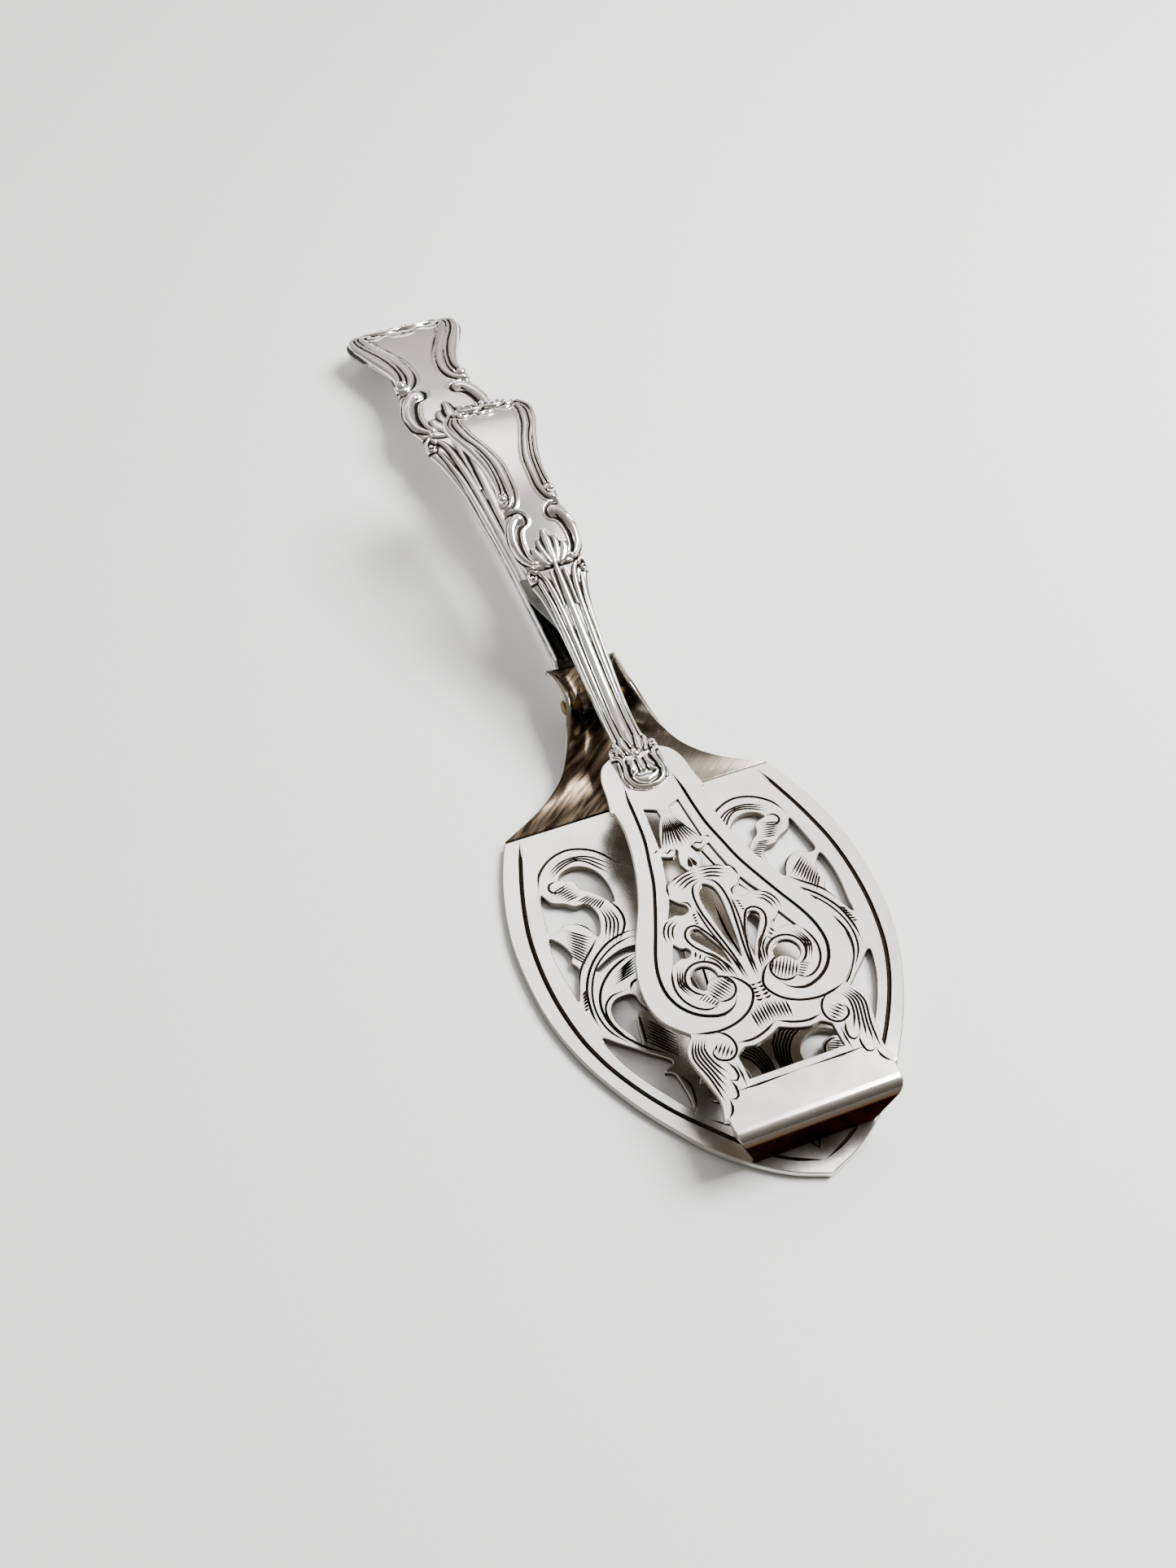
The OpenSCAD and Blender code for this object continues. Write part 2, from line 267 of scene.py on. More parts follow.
def sheet_mesh(name, plate, thickness, place):
    """Closes a plate into a sheet. place turns x, y and depth into x, y, z, all in mm."""
    xy, depth, tris, in_cut, rim, outline = plate
    used = np.unique(tris)
    new = np.full(len(xy), -1)
    new[used] = np.arange(len(used))
    face = place(xy[used], depth[used])
    back = place(xy[used], np.full(len(used), thickness))
    n = len(used)
    polys = [tuple(new[t]) for t in tris] + [tuple(new[t[::-1]] + n) for t in tris]
    polys += [(new[b], new[a], new[a] + n, new[b] + n) for a, b in rim]
    middles = np.array([(xy[a] + xy[b]) / 2 for a, b in rim])
    on_outline = distance_to(middles, outline, True)[0] <= 0.02
    mesh = mesh_of(name, np.vstack([face, back]), [], polys)
    kinds = np.full(len(polys), BROWN)
    kinds[:len(tris)] = np.where(in_cut, CUT, FACE)
    kinds[2 * len(tris):] = np.where(on_outline, FACE, BROWN)
    mesh.polygons.foreach_set("material_index", kinds)
    return mesh


def level(xy, depth):
    """The lower blade's place: flat, with its face at one height."""
    return np.c_[xy, LOWER_TOP - depth]


LOWER_HALF = smooth([
    (FOLD_X, FOLD_HALF), (42, 30.6), (50, 33.3), (60, 35.3), (70, 35.6), (80, 34.6), (90, 31.7),
    (100, 26.9), (108, 21.7), (114, 17), (119, 11.4), (122.5, 6), (TIP_X, 0),
])
LOWER_HOLES = [
    # behind the scroll's head
    [(58.5, 13.8), (55, 13.3), (51.3, 14), (48.9, 15.8), (47.9, 18.3), (48.5, 20.8), (50, 22),
     (50.4, 20.7), (51.2, 19.3), (53.3, 18.8), (54.6, 17.2), (56.3, 15.7)],
    # between the scroll's head and the first leaf
    [(57.2, 18.8), (60, 17.8), (63, 18.4), (64.8, 19.6), (62, 20.8), (60.6, 22.6), (60.2, 24.8),
     (61.2, 26.2), (60.8, 28), (56.5, 27.5), (52.2, 26.5), (54.4, 25.2), (55.6, 22.8),
     (56.8, 21.2)],
    # along the border, over the first leaf
    [(62.3, 28.5), (66, 29.1), (70, 29), (74, 28.5), (77, 28.1), (72.5, 26.4), (70.4, 25.6),
     (68.6, 26.4), (67.4, 25.8), (65.5, 26.1), (63.6, 27)],
    # along the border, in front of the great scroll
    [(86, 27), (88.3, 24.2), (91.5, 20.6), (94.8, 17), (96.4, 19.2), (97.8, 17.5), (104.8, 17.3),
     (100, 21), (95, 24), (90.5, 26)],
    # inside the great scroll
    [(78.9, 19.3), (79.2, 21.8), (81, 23.3), (84, 23.2), (87.5, 21.5), (89.5, 20.6), (86, 20),
     (83.2, 19), (83.2, 17.6), (84.3, 16), (81.5, 17.6), (79.5, 18)],
    # slit between two stems
    [(69.4, 13.4), (69.2, 16.5), (70.3, 19.8), (72, 22.8), (72.4, 22.2), (71, 19), (70.4, 16),
     (70.6, 13.5)],
    # round the front disc
    [(103, 5.2), (100.5, 5.8), (98.7, 8), (98.4, 10.5), (99.5, 13), (101, 14.2), (100.4, 12),
     (101, 10), (102.5, 9), (104.5, 9.3), (106, 8), (105.5, 6)],
    # teardrop under the upper blade
    [(69.2, 6.6), (70, 9.4), (73, 10.6), (78, 9.4), (83.5, 6.6), (78, 6.6), (73, 5.6)],
]
border = smooth([
    (38.4, 25.8), (45, 28.1), (52, 30.2), (60, 31.9), (68, 32.5), (76, 32.2), (84, 30.9),
    (90, 29), (95, 26.7), (100, 23.8), (105, 20.3), (110, 16), (114.4, 12), (118, 8.4),
    (120.5, 4.4), (122.3, 0),
], 1.2)
LOWER_CUTS = [
    cut(border, 0.42, 4),
    cut(border[2:-6] - (0, 0.42), 0.16, 4),
    line([(118, 8.2), (116.2, 4), (115.3, 0)], 0.3),
    line([(117.6, 1.6), (118.4, 0.7), (120, 0)], 0.25),
    line([(117.6, 1.6), (117.4, 0.7), (116.6, 0)], 0.25),
    line([(118.05, 7.4), (117.9, 4), (118.1, 1.8)], 0.2),
    # great scroll round the first piercing
    line([(51, 26.5), (47.3, 25), (44.6, 21.8), (43.7, 18), (44.8, 14.4), (47, 11.8),
          (50.5, 9.6)], 0.34, 4),
    *shading([(47.8, 23.4), (45.9, 19.5), (46.4, 15), (50, 11)],
             [(49, 23.2), (46.9, 19.2), (47.3, 15.8), (52, 12)], 3, 0.2),
    # scroll's head
    line([(49.9, 22.2), (50.3, 24), (51.6, 24.5), (52.6, 23.6), (52.5, 22.2), (51.5, 21.5)], 0.28),
    *shading([(51.3, 20.4), (52.6, 24.8)], [(54.7, 19.2), (55.2, 22.6)], 7, 0.16),
    # stem from the head to the second leaf
    *shading([(56, 20.6), (55.4, 17.7)], [(59.2, 17.4), (57.4, 15.2)], 8, 0.17),
    *shading([(58.6, 17.1), (62, 16.8), (66, 18.6)], [(59.2, 15.4), (63, 14.8), (67.6, 17)], 4, 0.18),
    line([(57.3, 15), (60.5, 13.6), (64, 13.8), (67.5, 16.4)], 0.3, 3),
    # first leaf
    *shading([(61.4, 25), (64.9, 20.8)], [(66.6, 26.2), (70.4, 23.6)], 10, 0.18),
    line([(64.9, 19.7), (67.2, 22), (70, 24.8), (73, 26.6), (77, 28)], 0.28, 3),
    line([(59.8, 24.9), (60.8, 22.3), (62.6, 20.6), (65, 19.6)], 0.22),
    # stems of the great scroll
    line([(66, 12), (65.9, 15), (67.2, 19), (70.4, 23), (75, 25.8), (80, 26.8), (84, 26.6)], 0.32, 4),
    line([(67.3, 12), (67.3, 15), (68.4, 18.6), (71.2, 22.4), (75.6, 25), (80.4, 26),
          (85, 25.2), (89, 22.4)], 0.2, 4),
    line([(70.9, 13.8), (71.4, 17), (73.2, 20.6), (76.4, 23.6), (80.6, 24.9), (85.4, 24),
          (90, 20.8), (93.2, 17)], 0.32, 4),
    *shading([(71.4, 14.4), (73.8, 19.4)], [(74.6, 15.4), (76, 20.6)], 6, 0.18),
    *shading([(75.2, 25.8), (76.2, 27.2)], [(79, 26.9), (79.4, 28)], 6, 0.28),
    line([(76, 15), (76.9, 17.6), (78.4, 18.4)], 0.34),
    line([(77.9, 19), (78.2, 22.2), (80.4, 24.2), (84, 24.2), (88.2, 22.3)], 0.22, 3),
    # second leaf, along the border's front piercing
    *shading([(88.8, 20.2), (94.2, 15.4)], [(84.6, 18.6), (90.6, 14)], 8, 0.18),
    line([(83.4, 19), (86.4, 19.4), (90.4, 20)], 0.26),
    line([(97.8, 16.9), (101, 15.9), (105, 16.6)], 0.24),
    # rings round the front disc
    *shading([(97.2, 13.4), (96.4, 9), (98.6, 4.6), (103, 2.8), (107.6, 4.4)],
             [(94.8, 14.4), (93.4, 8.4), (96.8, 2), (103, 0.6), (109.4, 2.6)], 6, 0.2, 1.6),
    *disc_hatch((103.4, 11.8), 2.1, 65, 8, 0.2),
    cut(arc((103.4, 11.8), 2.4, 150, 420), 0.22),
    line([(106.5, 6), (109.5, 8.6), (110.5, 12), (108, 15.4)], 0.3, 3),
    # scrolls under the upper blade
    line([(44, 4), (52, 6.4), (60, 8.6), (66.4, 12)], 0.3, 4),
    line([(66, 4), (74, 3.6), (84, 5), (92, 8.8), (95, 13)], 0.3, 4),
    *shading([(86, 8), (91, 12)], [(82, 10), (86, 14)], 7, 0.2),
]
holes = [smooth(h, 0.5, True) for h in LOWER_HOLES]
holes += [mirrored(h) for h in holes]
strokes = LOWER_CUTS + [(mirrored(p), w) for p, w in LOWER_CUTS]
# The outline's last point is left out, so the sheet's corner at the fold starts 0.4 mm
# further forward on the -Y side than on the +Y side.
lower_plate = engraved_plate(both_sides(LOWER_HALF)[:-1], holes, strokes)
lower_mesh = sheet_mesh("lower_blade_leaf", lower_plate, LOWER_SHEET, level)

# Shoulder stations: x, half width, rim height, floor height, steepness of the wall.
# Each becomes a ring with so many points along its inside and as many along its outside.
RING_POINTS = 49
SHOULDER = smooth([
    (5, 7.6, 10.2, 9.5, 2.5), (8, 6.5, 11.3, 8.5, 4), (12, 6, 12, 6.9, 5.5),
    (16, 6.3, 12, 5.8, 5.5), (21, 8.3, 8.6, 4.8, 4), (25, 10.7, 5.9, 3.4, 3),
    (29, 13.8, 4, 2.2, 2.5), (33, 19.5, 2.3, 1.5, 2),
    (FOLD_X, FOLD_HALF, LOWER_TOP, LOWER_TOP, 2),
], 0.8)


def loft(name, rings):
    """A closed skin over rings of points in mm, all with the same number of points."""
    rings = np.asarray(rings)
    count, per = rings.shape[:2]
    polys = []
    for i in range(count - 1):
        for j in range(per):
            here, beside = i * per + j, i * per + (j + 1) % per
            polys.append((here, here + per, beside + per, beside))
    for base, flip in ((0, False), ((count - 1) * per, True)):
        for j in range(per // 2 - 1):
            quad = (base + j, base + j + 1, base + per - 2 - j, base + per - 1 - j)
            polys.append(quad[::-1] if flip else quad)
    return mesh_of(name, rings.reshape(-1, 3), [], polys)


def shoulder_ring(station):
    """One cross-section of the trough: along its inside, then back along its outside."""
    x, half, rim, floor, steep = station
    u = np.sin(np.radians(np.linspace(-90, 90, RING_POINTS)))
    y, z = half * u, floor + (rim - floor) * np.abs(u) ** steep
    slope = (rim - floor) * steep * np.abs(u) ** (steep - 1) / half * np.sign(u)
    normal = LOWER_SHEET / np.sqrt(1 + slope**2)
    inside = np.c_[np.full(RING_POINTS, x), y, z]
    outside = np.c_[np.full(RING_POINTS, x), y + normal * slope, z - normal]
    return np.vstack([inside, outside[::-1]])


shoulder_mesh = loft("lower_blade_shoulder", [shoulder_ring(s) for s in SHOULDER])


def linear(hex_colour):
    """An sRGB hex colour as linear RGBA."""
    parts = [int(hex_colour[k:k + 2], 16) / 255 for k in (1, 3, 5)]
    return [c / 12.92 if c <= 0.04045 else ((c + 0.055) / 1.055) ** 2.4 for c in parts] + [1]


def node(tree, kind, links=(), **settings):
    """Adds a node, with its sockets set by name or number and linked from other nodes."""
    made = tree.nodes.new(kind)
    for key, value in settings.items():
        if hasattr(made, key):
            setattr(made, key, value)
        else:
            made.inputs[key.replace("_", " ")].default_value = value
    for socket, source in dict(links).items():
        tree.links.new(source, made.inputs[socket])
    return made


def metal(name, roughness):
    """A metal without a colour yet: its tree, its shader and the object's own coordinates."""
    material = bpy.data.materials.new(name)
    material.use_nodes = True
    tree = material.node_tree
    shader = tree.nodes["Principled BSDF"]
    shader.inputs["Metallic"].default_value = 1
    shader.inputs["Roughness"].default_value = roughness
    place = tree.nodes.new("ShaderNodeTexCoord").outputs["Object"]
    return material, tree, shader, place


def mixed(tree, factor, first, second):
    """A colour between two sRGB hex colours."""
    mix = node(tree, "ShaderNodeMix", {"Factor": factor}, data_type="RGBA")
    mix.inputs[6].default_value, mix.inputs[7].default_value = linear(first), linear(second)
    return mix.outputs[2]


def ranged(tree, value, low, high, to_low=0, to_high=1):
    """A value carried from one range to another."""
    change = node(tree, "ShaderNodeMapRange", {"Value": value},
                  From_Min=low, From_Max=high, To_Min=to_low, To_Max=to_high)
    return change.outputs["Result"]


def uneven(tree, shader, height, strength, distance):
    """Makes a face uneven on the scale of scratches and pits, as bump."""
    bump = node(tree, "ShaderNodeBump", {"Height": height}, Strength=strength, Distance=distance)
    tree.links.new(bump.outputs["Normal"], shader.inputs["Normal"])


def mottled(name, roughness, scale, detail, first, second, grain=0.5):
    """A metal in patches of two sRGB hex colours: its tree, its shader and the patches."""
    material, tree, shader, place = metal(name, roughness)
    patches = node(tree, "ShaderNodeTexNoise", {"Vector": place}, Scale=scale, Detail=detail,
                   Roughness=grain).outputs["Fac"]
    tree.links.new(mixed(tree, patches, first, second), shader.inputs["Base Color"])
    return material, tree, shader, patches


# Sterling silver sheet, polished by hand and worn by cleaning: a bright white metal with
# cloudy patches and hair-fine scratches that run any way.
engraved_silver, tree, shader, patches = mottled(
    "polished sterling sheet", 0.2, 90, 5, "#F4F2EB", "#DAD6CC", grain=0.6)
tree.links.new(ranged(tree, patches, 0.3, 0.7, 0.14, 0.26), shader.inputs["Roughness"])
place = tree.nodes["Texture Coordinate"].outputs["Object"]
scratch = node(tree, "ShaderNodeTexNoise", {"Vector": place}, Scale=900, Detail=4)
uneven(tree, shader, scratch.outputs["Fac"], 0.12, 0.00003)

# The sawn walls of the piercings and the undersides, which are never polished: brown-black.
brown_silver, *_ = mottled("tarnished sterling", 0.35, 260, 5, "#2B2620", "#6E655A")

# The same silver down in the graver's cuts, where polish never reaches: black-brown sulphide.
oxide, *_ = mottled("oxidised engraving", 0.5, 600, 3, "#110E0B", "#332A21")

# Inside the trough the silver is brown-black in streaks that follow the scraper: partly tarnish
# where no cloth reaches, partly painted shade, less so on the wing towards +Y. Its outside is as bright
# as the blade.
streaked_shaded_silver, tree, shader, place = metal("streaked sterling, painted trough shade", 0.2)
spot = node(tree, "ShaderNodeSeparateXYZ", {0: place})
stretched = node(tree, "ShaderNodeMapping", {"Vector": place}, vector_type="TEXTURE")
stretched.inputs["Scale"].default_value = (0.008, 0.0009, 0.008)
stretched.inputs["Rotation"].default_value = (0, 0, 2.2)
streaks = node(tree, "ShaderNodeTexNoise", {"Vector": stretched.outputs[0]}, Scale=1, Detail=3,
               Distortion=0.5)
inside = node(tree, "ShaderNodeAttribute", attribute_name="inside")
reach = ranged(tree, spot.outputs["Y"], 0, 0.011, 1, 0.55)
# Painted shade together with tarnish: full inside the trough, weaker towards +Y.
darkening = node(tree, "ShaderNodeMath", {0: inside.outputs["Fac"], 1: reach}, operation="MULTIPLY")
brown = mixed(tree, ranged(tree, streaks.outputs["Fac"], 0.42, 0.8), "#2B241C", "#857560")
tone = node(tree, "ShaderNodeMix", {0: darkening.outputs[0], 7: brown}, data_type="RGBA")
tone.inputs[6].default_value = linear("#BFB6A8")
tree.links.new(tone.outputs[2], shader.inputs["Base Color"])
uneven(tree, shader, streaks.outputs["Fac"], 0.12, 0.0001)
is_inside = np.tile(np.repeat([1.0, 0.0], RING_POINTS), len(SHOULDER)).astype(np.float32)
shoulder_mesh.attributes.new("inside", "FLOAT", "POINT").data.foreach_set("value", is_inside)


def piece(name, meshes, materials, body, nodes):
    """Joins meshes into one named piece that rides on a body and stands for CAD nodes."""
    objects = [added(name, m) for m in meshes]
    for m in materials:
        for o in objects:
            o.data.materials.append(m)
    if len(objects) > 1:
        with bpy.context.temp_override(active_object=objects[0], selected_editable_objects=objects):
            bpy.ops.object.join()
    made = objects[0]
    made.name = name
    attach(made, body)
    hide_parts(*nodes)


shoulder_mesh.shade_smooth()
piece("lower_blade_engraved", [lower_mesh], [engraved_silver, oxide, brown_silver], "lower",
      ["lower_blade"])
piece("lower_blade_shoulder", [shoulder_mesh], [streaked_shaded_silver], "lower", ["lower_blade"])


# ---- Upper blade ----
# A smaller leaf of silver sheet, pierced with a bellflower, a shell and two scrolls, and
# engraved all over. Its front edge is bent down into a lip that meets the lower blade.

upper_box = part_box("upper_blade")
UPPER_TOP = upper_box[1][2] / MM
UPPER_SHEET = 1.0
BEND_R = 2.6
BEND_X = 116.8
LIP_HALF = 15.6
LIP_FOOT_HALF = 11.5
LIP_TURN = math.radians(96)
LIP_LENGTH = BEND_R * LIP_TURN + 8.5

UPPER_HALF_OUTLINE = np.vstack([
    smooth([(33.4, 0), (33.2, 3), (34, 5.4), (35.6, 7.4), (38.4, 8.6), (43, 9.2), (46.5, 9.9)]),
    smooth([(46.9, 9.2), (52, 9), (60, 10.4), (68, 13), (76, 16.8), (82, 19), (88, 19.8),
            (93, 18.6), (97, 15.1)]),
    smooth([(97.6, 15.2), (99, 16.5), (101.6, 17.2), (107, 16.1), (111, 15.5), (114.5, 16.4)]),
    [(114.8, LIP_HALF), (BEND_X, LIP_HALF), (BEND_X + 1.4, LIP_HALF)],
    [(BEND_X + BEND_R * LIP_TURN, LIP_HALF - 1.1), (BEND_X + LIP_LENGTH, LIP_FOOT_HALF)],
])
EYE, EYE_R = (87.3, 8.1), 2.5
DISC, DISC_R = (90.4, 6.2), 2.6


def crescent(centre, radius, bite, bite_radius):
    """A disc with a bite taken out of it by another, as a closed outline."""
    c, b = np.array(centre), np.array(bite)
    apart = np.linalg.norm(b - c)
    towards = math.degrees(math.atan2(*(b - c)[::-1]))
    at_c = math.degrees(math.acos((radius**2 + apart**2 - bite_radius**2) / (2 * radius * apart)))
    at_b = math.degrees(math.acos((bite_radius**2 + apart**2 - radius**2) / (2 * bite_radius * apart)))
    outer = arc(c, radius, towards + at_c, towards + 360 - at_c)
    inner = arc(b, bite_radius, towards + 180 + at_b, towards + 180 - at_b)
    return np.vstack([outer, inner[1:-1]])


UPPER_HOLES = [
    # beside the bellflower
    np.array([(47.9, 3.6), (53, 3.95), (57.8, 4.4), (57.6, 4.0), (54.5, 3.1), (52, 2), (50.6, 1.2),
              (49, 1.3), (48.7, 1.8)]),
    # between the bellflower and the shell
    np.vstack([smooth([(59, 1.6), (60.3, 2.3), (60.4, 3.2), (59.7, 4.9)], 0.4),
               smooth([(63, 5.5), (66.2, 6.2)], 0.6), smooth([(64.9, 4.4), (64.3, 1.5)], 0.6),
               smooth([(62.6, 2.2), (61, 1.9), (59.4, 1.3)], 0.6)]),
    # round the shell's edge
    np.vstack([smooth([(69.1, 7.2), (71.3, 8.1), (73.3, 9.2)]),
               smooth([(72.8, 7.7), (73.3, 6.2), (72.7, 4.9), (71.6, 4.9), (70.7, 5.9)], 0.4)]),
    # the shell's side slit
    smooth([(86.4, 2.2), (83.8, 3.4), (81, 5.3), (78.8, 6.7), (77.5, 6.7), (76.9, 5.7),
            (77.4, 4.8), (79, 4.1), (82.5, 2.6)], 0.5),
    # between the shell and the scroll
    np.vstack([smooth([(78.7, 10.5), (80, 9.5), (80.3, 8.5), (81.3, 8.1), (82.2, 9.1),
                       (81.9, 10.4)], 0.4), [(82.8, 12.3)]]),
    # the scroll's eye
    crescent(EYE, EYE_R, DISC, DISC_R),
]
# On the middle line: the shell's own slit and the window behind the lip.
MIDDLE_HOLES = [
    both_sides(smooth([(68.2, 0.2), (69.4, 1.4), (72, 1.8), (76, 1.5), (81, 0.9), (85.3, 0.1)])),
    both_sides(np.vstack([smooth([(101.2, 0.05), (102.3, 2.5), (103, 5.2), (102.8, 7.4),
                                  (104, 9)], 0.6), [(108.7, 9.1)]])),
]
UPPER_CUTS = [
    # border line that rolls up into the scroll
    cut(smooth([(40.8, 4.9), (45, 5.5), (50, 5.8), (55, 6.3), (60, 7.4), (65, 8.6), (70, 10.4),
                (75, 12.4), (80, 14.5), (84, 15.6), (88, 15.7), (91.5, 14.4), (94, 12), (95.3, 9),
                (95.2, 7), (94.2, 5.2), (92.4, 4.1)], 1.0), 0.46, 5),
    line([(97, 14.9), (97.9, 12), (98.2, 9.3), (97.7, 6.3), (96.4, 3.7), (94.6, 2),
          (92.6, 1.2), (90.7, 1.8), (89, 3.2), (88.1, 4.8)], 0.32, 3),
    cut(arc(DISC, DISC_R, -205, 40), 0.24),
    *disc_hatch(DISC, DISC_R, -32, 8, 0.2),
    cut(arc(EYE, 3.5, 15, 262), 0.26),
    line([(93.1, 7.4), (93.6, 9.5), (92.7, 11.6), (90.5, 13.3), (87.5, 13.9), (84.5, 13.2),
          (82.9, 12.3)], 0.26, 3),
    *shading([(83.4, 11.6), (87, 12.9), (90.4, 11.6)], [(83.9, 10.8), (87, 12.1), (89.6, 11)], 3, 0.16),
    *shading([(91.2, 10.8), (90.3, 9.2)], [(93.3, 8.8), (92.6, 7.6)], 6, 0.16),
    line([(83.6, 7), (85.4, 4.9), (88, 4.2)], 0.2),
    line([(82.8, 6.4), (84.8, 4.5), (88.3, 3.6)], 0.18),
    line([(82, 5.8), (84.4, 3.9), (88.8, 3)], 0.18),
    *shading([(81.5, 7.3), (82.8, 7.9)], [(84, 5.6), (84.4, 6)], 4, 0.26),
    # shell
    line([(89.6, 2.4), (86.4, 3), (83.6, 4.7), (80.4, 7.2), (78, 7.8), (76.4, 6.8),
          (76.3, 5.2), (78.2, 3.9), (82, 2.4), (86, 1.6), (90.4, 1.2)], 0.26, 3),
    line([(67.2, 0), (68, 1.9), (70.2, 2.8), (74, 2.9), (78, 2.3), (84, 1.3), (90.4, 0.7)], 0.26, 3),
    line([(72.6, 3.6), (78, 3.1), (83, 2)], 0.18),
    *shading([(73.8, 3.9), (74.3, 4.9)], [(76, 4.2), (76, 5)], 4, 0.24),
    line([(70.6, 5.6), (71.2, 4.4), (72.6, 4.2)], 0.2),
    *shading([(73.2, 8.2), (74, 10), (76, 11.2), (78.3, 11.4)],
             [(74.4, 7.6), (75.2, 9), (76.8, 9.8), (78.2, 9.9)], 3, 0.18),
    # band behind the shell
    *shading([(66, 6), (64.7, 3), (64.4, 0)], [(68.2, 4.4), (67, 2.2), (66.7, 0)], 4, 0.24),
    line([(65.6, 6.2), (67.2, 6.8), (68.8, 7)], 0.24),
    # bellflower, its bud and its neck
    *shading([(51.2, 1.1), (54, 2.1), (58.3, 4)], [(51.4, 0.05), (55, 0.1), (58.8, 0.15)], 6, 0.18),
    line([(58.6, 4.2), (59.3, 3.4), (58.8, 2.6), (59.2, 1.7)], 0.22),
    *shading([(61.4, 0), (63.6, 1)], [(63, 0), (64.1, 0.5)], 5, 0.16),
    *shading([(48.9, 0), (49, 0.7)], [(50.2, 0), (50.3, 0.7)], 3, 0.26),
    line([(57.9, 4.8), (58.5, 5.8)], 0.24),
    # tie between the scrolls, and the fluting in front of it
    *shading([(91.4, 1.2), (91.7, 0.6), (91.6, 0)], [(94.7, 1.5), (95, 0.7), (94.9, 0)], 5, 0.28),
    *shading([(95.3, 0.2), (99.6, 0.3)], [(96.4, 3.4), (100.2, 3.2)], 6, 0.2),
    # front foot with its disc and leaf
    line([(98.2, 10.9), (99, 9.5), (100.7, 8.6), (102.6, 8.7), (103.9, 9.9), (104, 11.3),
          (103.2, 12.6), (101.9, 12.9), (101, 12.4)], 0.26),
    *disc_hatch((102, 10.9), 1.7, 40, 5, 0.2),
    line([(104.2, 11.4), (106, 10.6), (107.6, 10.6), (108.2, 11.2), (107.6, 12.4)], 0.28),
    line([(107.6, 12.3), (109.4, 11.9), (111, 12.2), (111.4, 12.9), (111, 13.9)], 0.28),
    line([(111, 13.9), (112.6, 14), (113.8, 14.7), (114.4, 15.6)], 0.28),
    *shading([(97.9, 14.8), (101.5, 16.4), (106.4, 15.3), (111.6, 14.7)],
             [(98.7, 12.8), (100.4, 13.9), (103.4, 13.5), (106.6, 11.8)], 5, 0.2),
    # frame of the window
    line([(101.4, 8.2), (101.8, 5.5), (101.2, 2.8), (99.8, 0)], 0.3, 2),
    cut([(110.1, 12.6), (110.2, 8), (110.1, 0)], 0.26, 3),
    cut([(105, 10), (107.4, 9.9), (110, 10.1)], 0.22),
]


def bent(xy, depth):
    """Wraps what lies past the bend down round it, then straight on into the lip."""
    past = np.clip(xy[:, 0] - BEND_X, 0, None)
    turn = np.minimum(past / BEND_R, LIP_TURN)
    straight = past - turn * BEND_R
    x = np.minimum(xy[:, 0], BEND_X) + (BEND_R - depth) * np.sin(turn) + straight * np.cos(turn)
    z = UPPER_TOP - BEND_R + (BEND_R - depth) * np.cos(turn) - straight * np.sin(turn)
    return np.c_[x, xy[:, 1], z]


# The same sheet; the lip's front, from a little below the bend, gets painted shade: a brown colour and
# brown-tinted reflections.
lip_shaded_silver = engraved_silver.copy()
lip_shaded_silver.name = "polished sterling sheet, lip painted with shade"
tree = lip_shaded_silver.node_tree
height = node(tree, "ShaderNodeSeparateXYZ", {0: tree.nodes["Texture Coordinate"].outputs["Object"]})
# Painted shade on the lip's front, full from a little below the bend downwards.
lip_shade = ranged(tree, height.outputs["Z"], 0.0126, 0.0112)
shader = tree.nodes["Principled BSDF"]
sheet = shader.inputs["Base Color"].links[0].from_socket
darkening = node(tree, "ShaderNodeMix", {0: lip_shade, 6: sheet}, data_type="RGBA")
darkening.inputs[7].default_value = linear("#4A4036")
tree.links.new(darkening.outputs[2], shader.inputs["Base Color"])
# Painted dim reflection: the lip's front reflects in brown-grey.
tree.links.new(mixed(tree, lip_shade, "#FFFFFF", "#8E8274"), shader.inputs["Specular Tint"])

holes = UPPER_HOLES + [mirrored(h) for h in UPPER_HOLES] + MIDDLE_HOLES
strokes = UPPER_CUTS + [(mirrored(p), w) for p, w in UPPER_CUTS]
BEND_RULINGS, RULING_HALF = 17, LIP_HALF - 0.3
across = [[(x, -RULING_HALF), (x, RULING_HALF)]
          for x in BEND_X + np.linspace(0, BEND_R * LIP_TURN, BEND_RULINGS)]
upper_plate = engraved_plate(both_sides(UPPER_HALF_OUTLINE[1:]), holes, strokes, across)
upper_mesh = sheet_mesh("upper_blade", upper_plate, UPPER_SHEET, bent)
piece("upper_blade_engraved", [upper_mesh], [lip_shaded_silver, oxide, brown_silver], "upper",
      ["upper_blade"])


# ---- Handles ----
# Cast silver handles in a scroll pattern. The long one is soldered under the shoulder, the
# short thumb handle is soldered to the upper blade by the drop at its front end. Both carry
# half-round mouldings that end in pearls, C-scrolls, a leaf and a fluted stem.

# Each handle's outline, face and back along its length: x, and a half width or a height.
LONG_HALF = smooth([
    (-125, 2), (-124, 9), (-121, 14), (-117, 14.6), (-110, 12), (-101, 8.9), (-95, 9.4),
    (-92, 9.1), (-86, 10.8), (-80, 10.9), (-74, 8.9), (-70, 9.4), (-64, 7.6), (-54, 5.8),
    (-43, 5.1), (-30, 4.3), (-20, 4.2), (0, 4.6), (6, 5.2), (12, 4.6), (19, 3.2), (25, 0.8),
], 0.2)
LONG_TOP = smooth([
    (-125, 5.4), (-122, 7.4), (-116, 8.8), (-107, 9.9), (-97, 10.8), (-86, 11.6), (-74, 11.8),
    (-60, 11.3), (-45, 10.4), (-32, 9.7), (-24, 9.4), (-15, 9.4), (0, 9.3), (2.5, 8.4), (5, 8),
    (8, 7), (12, 5.4), (16, 4.3), (21, 3.2), (25, 1.9),
])
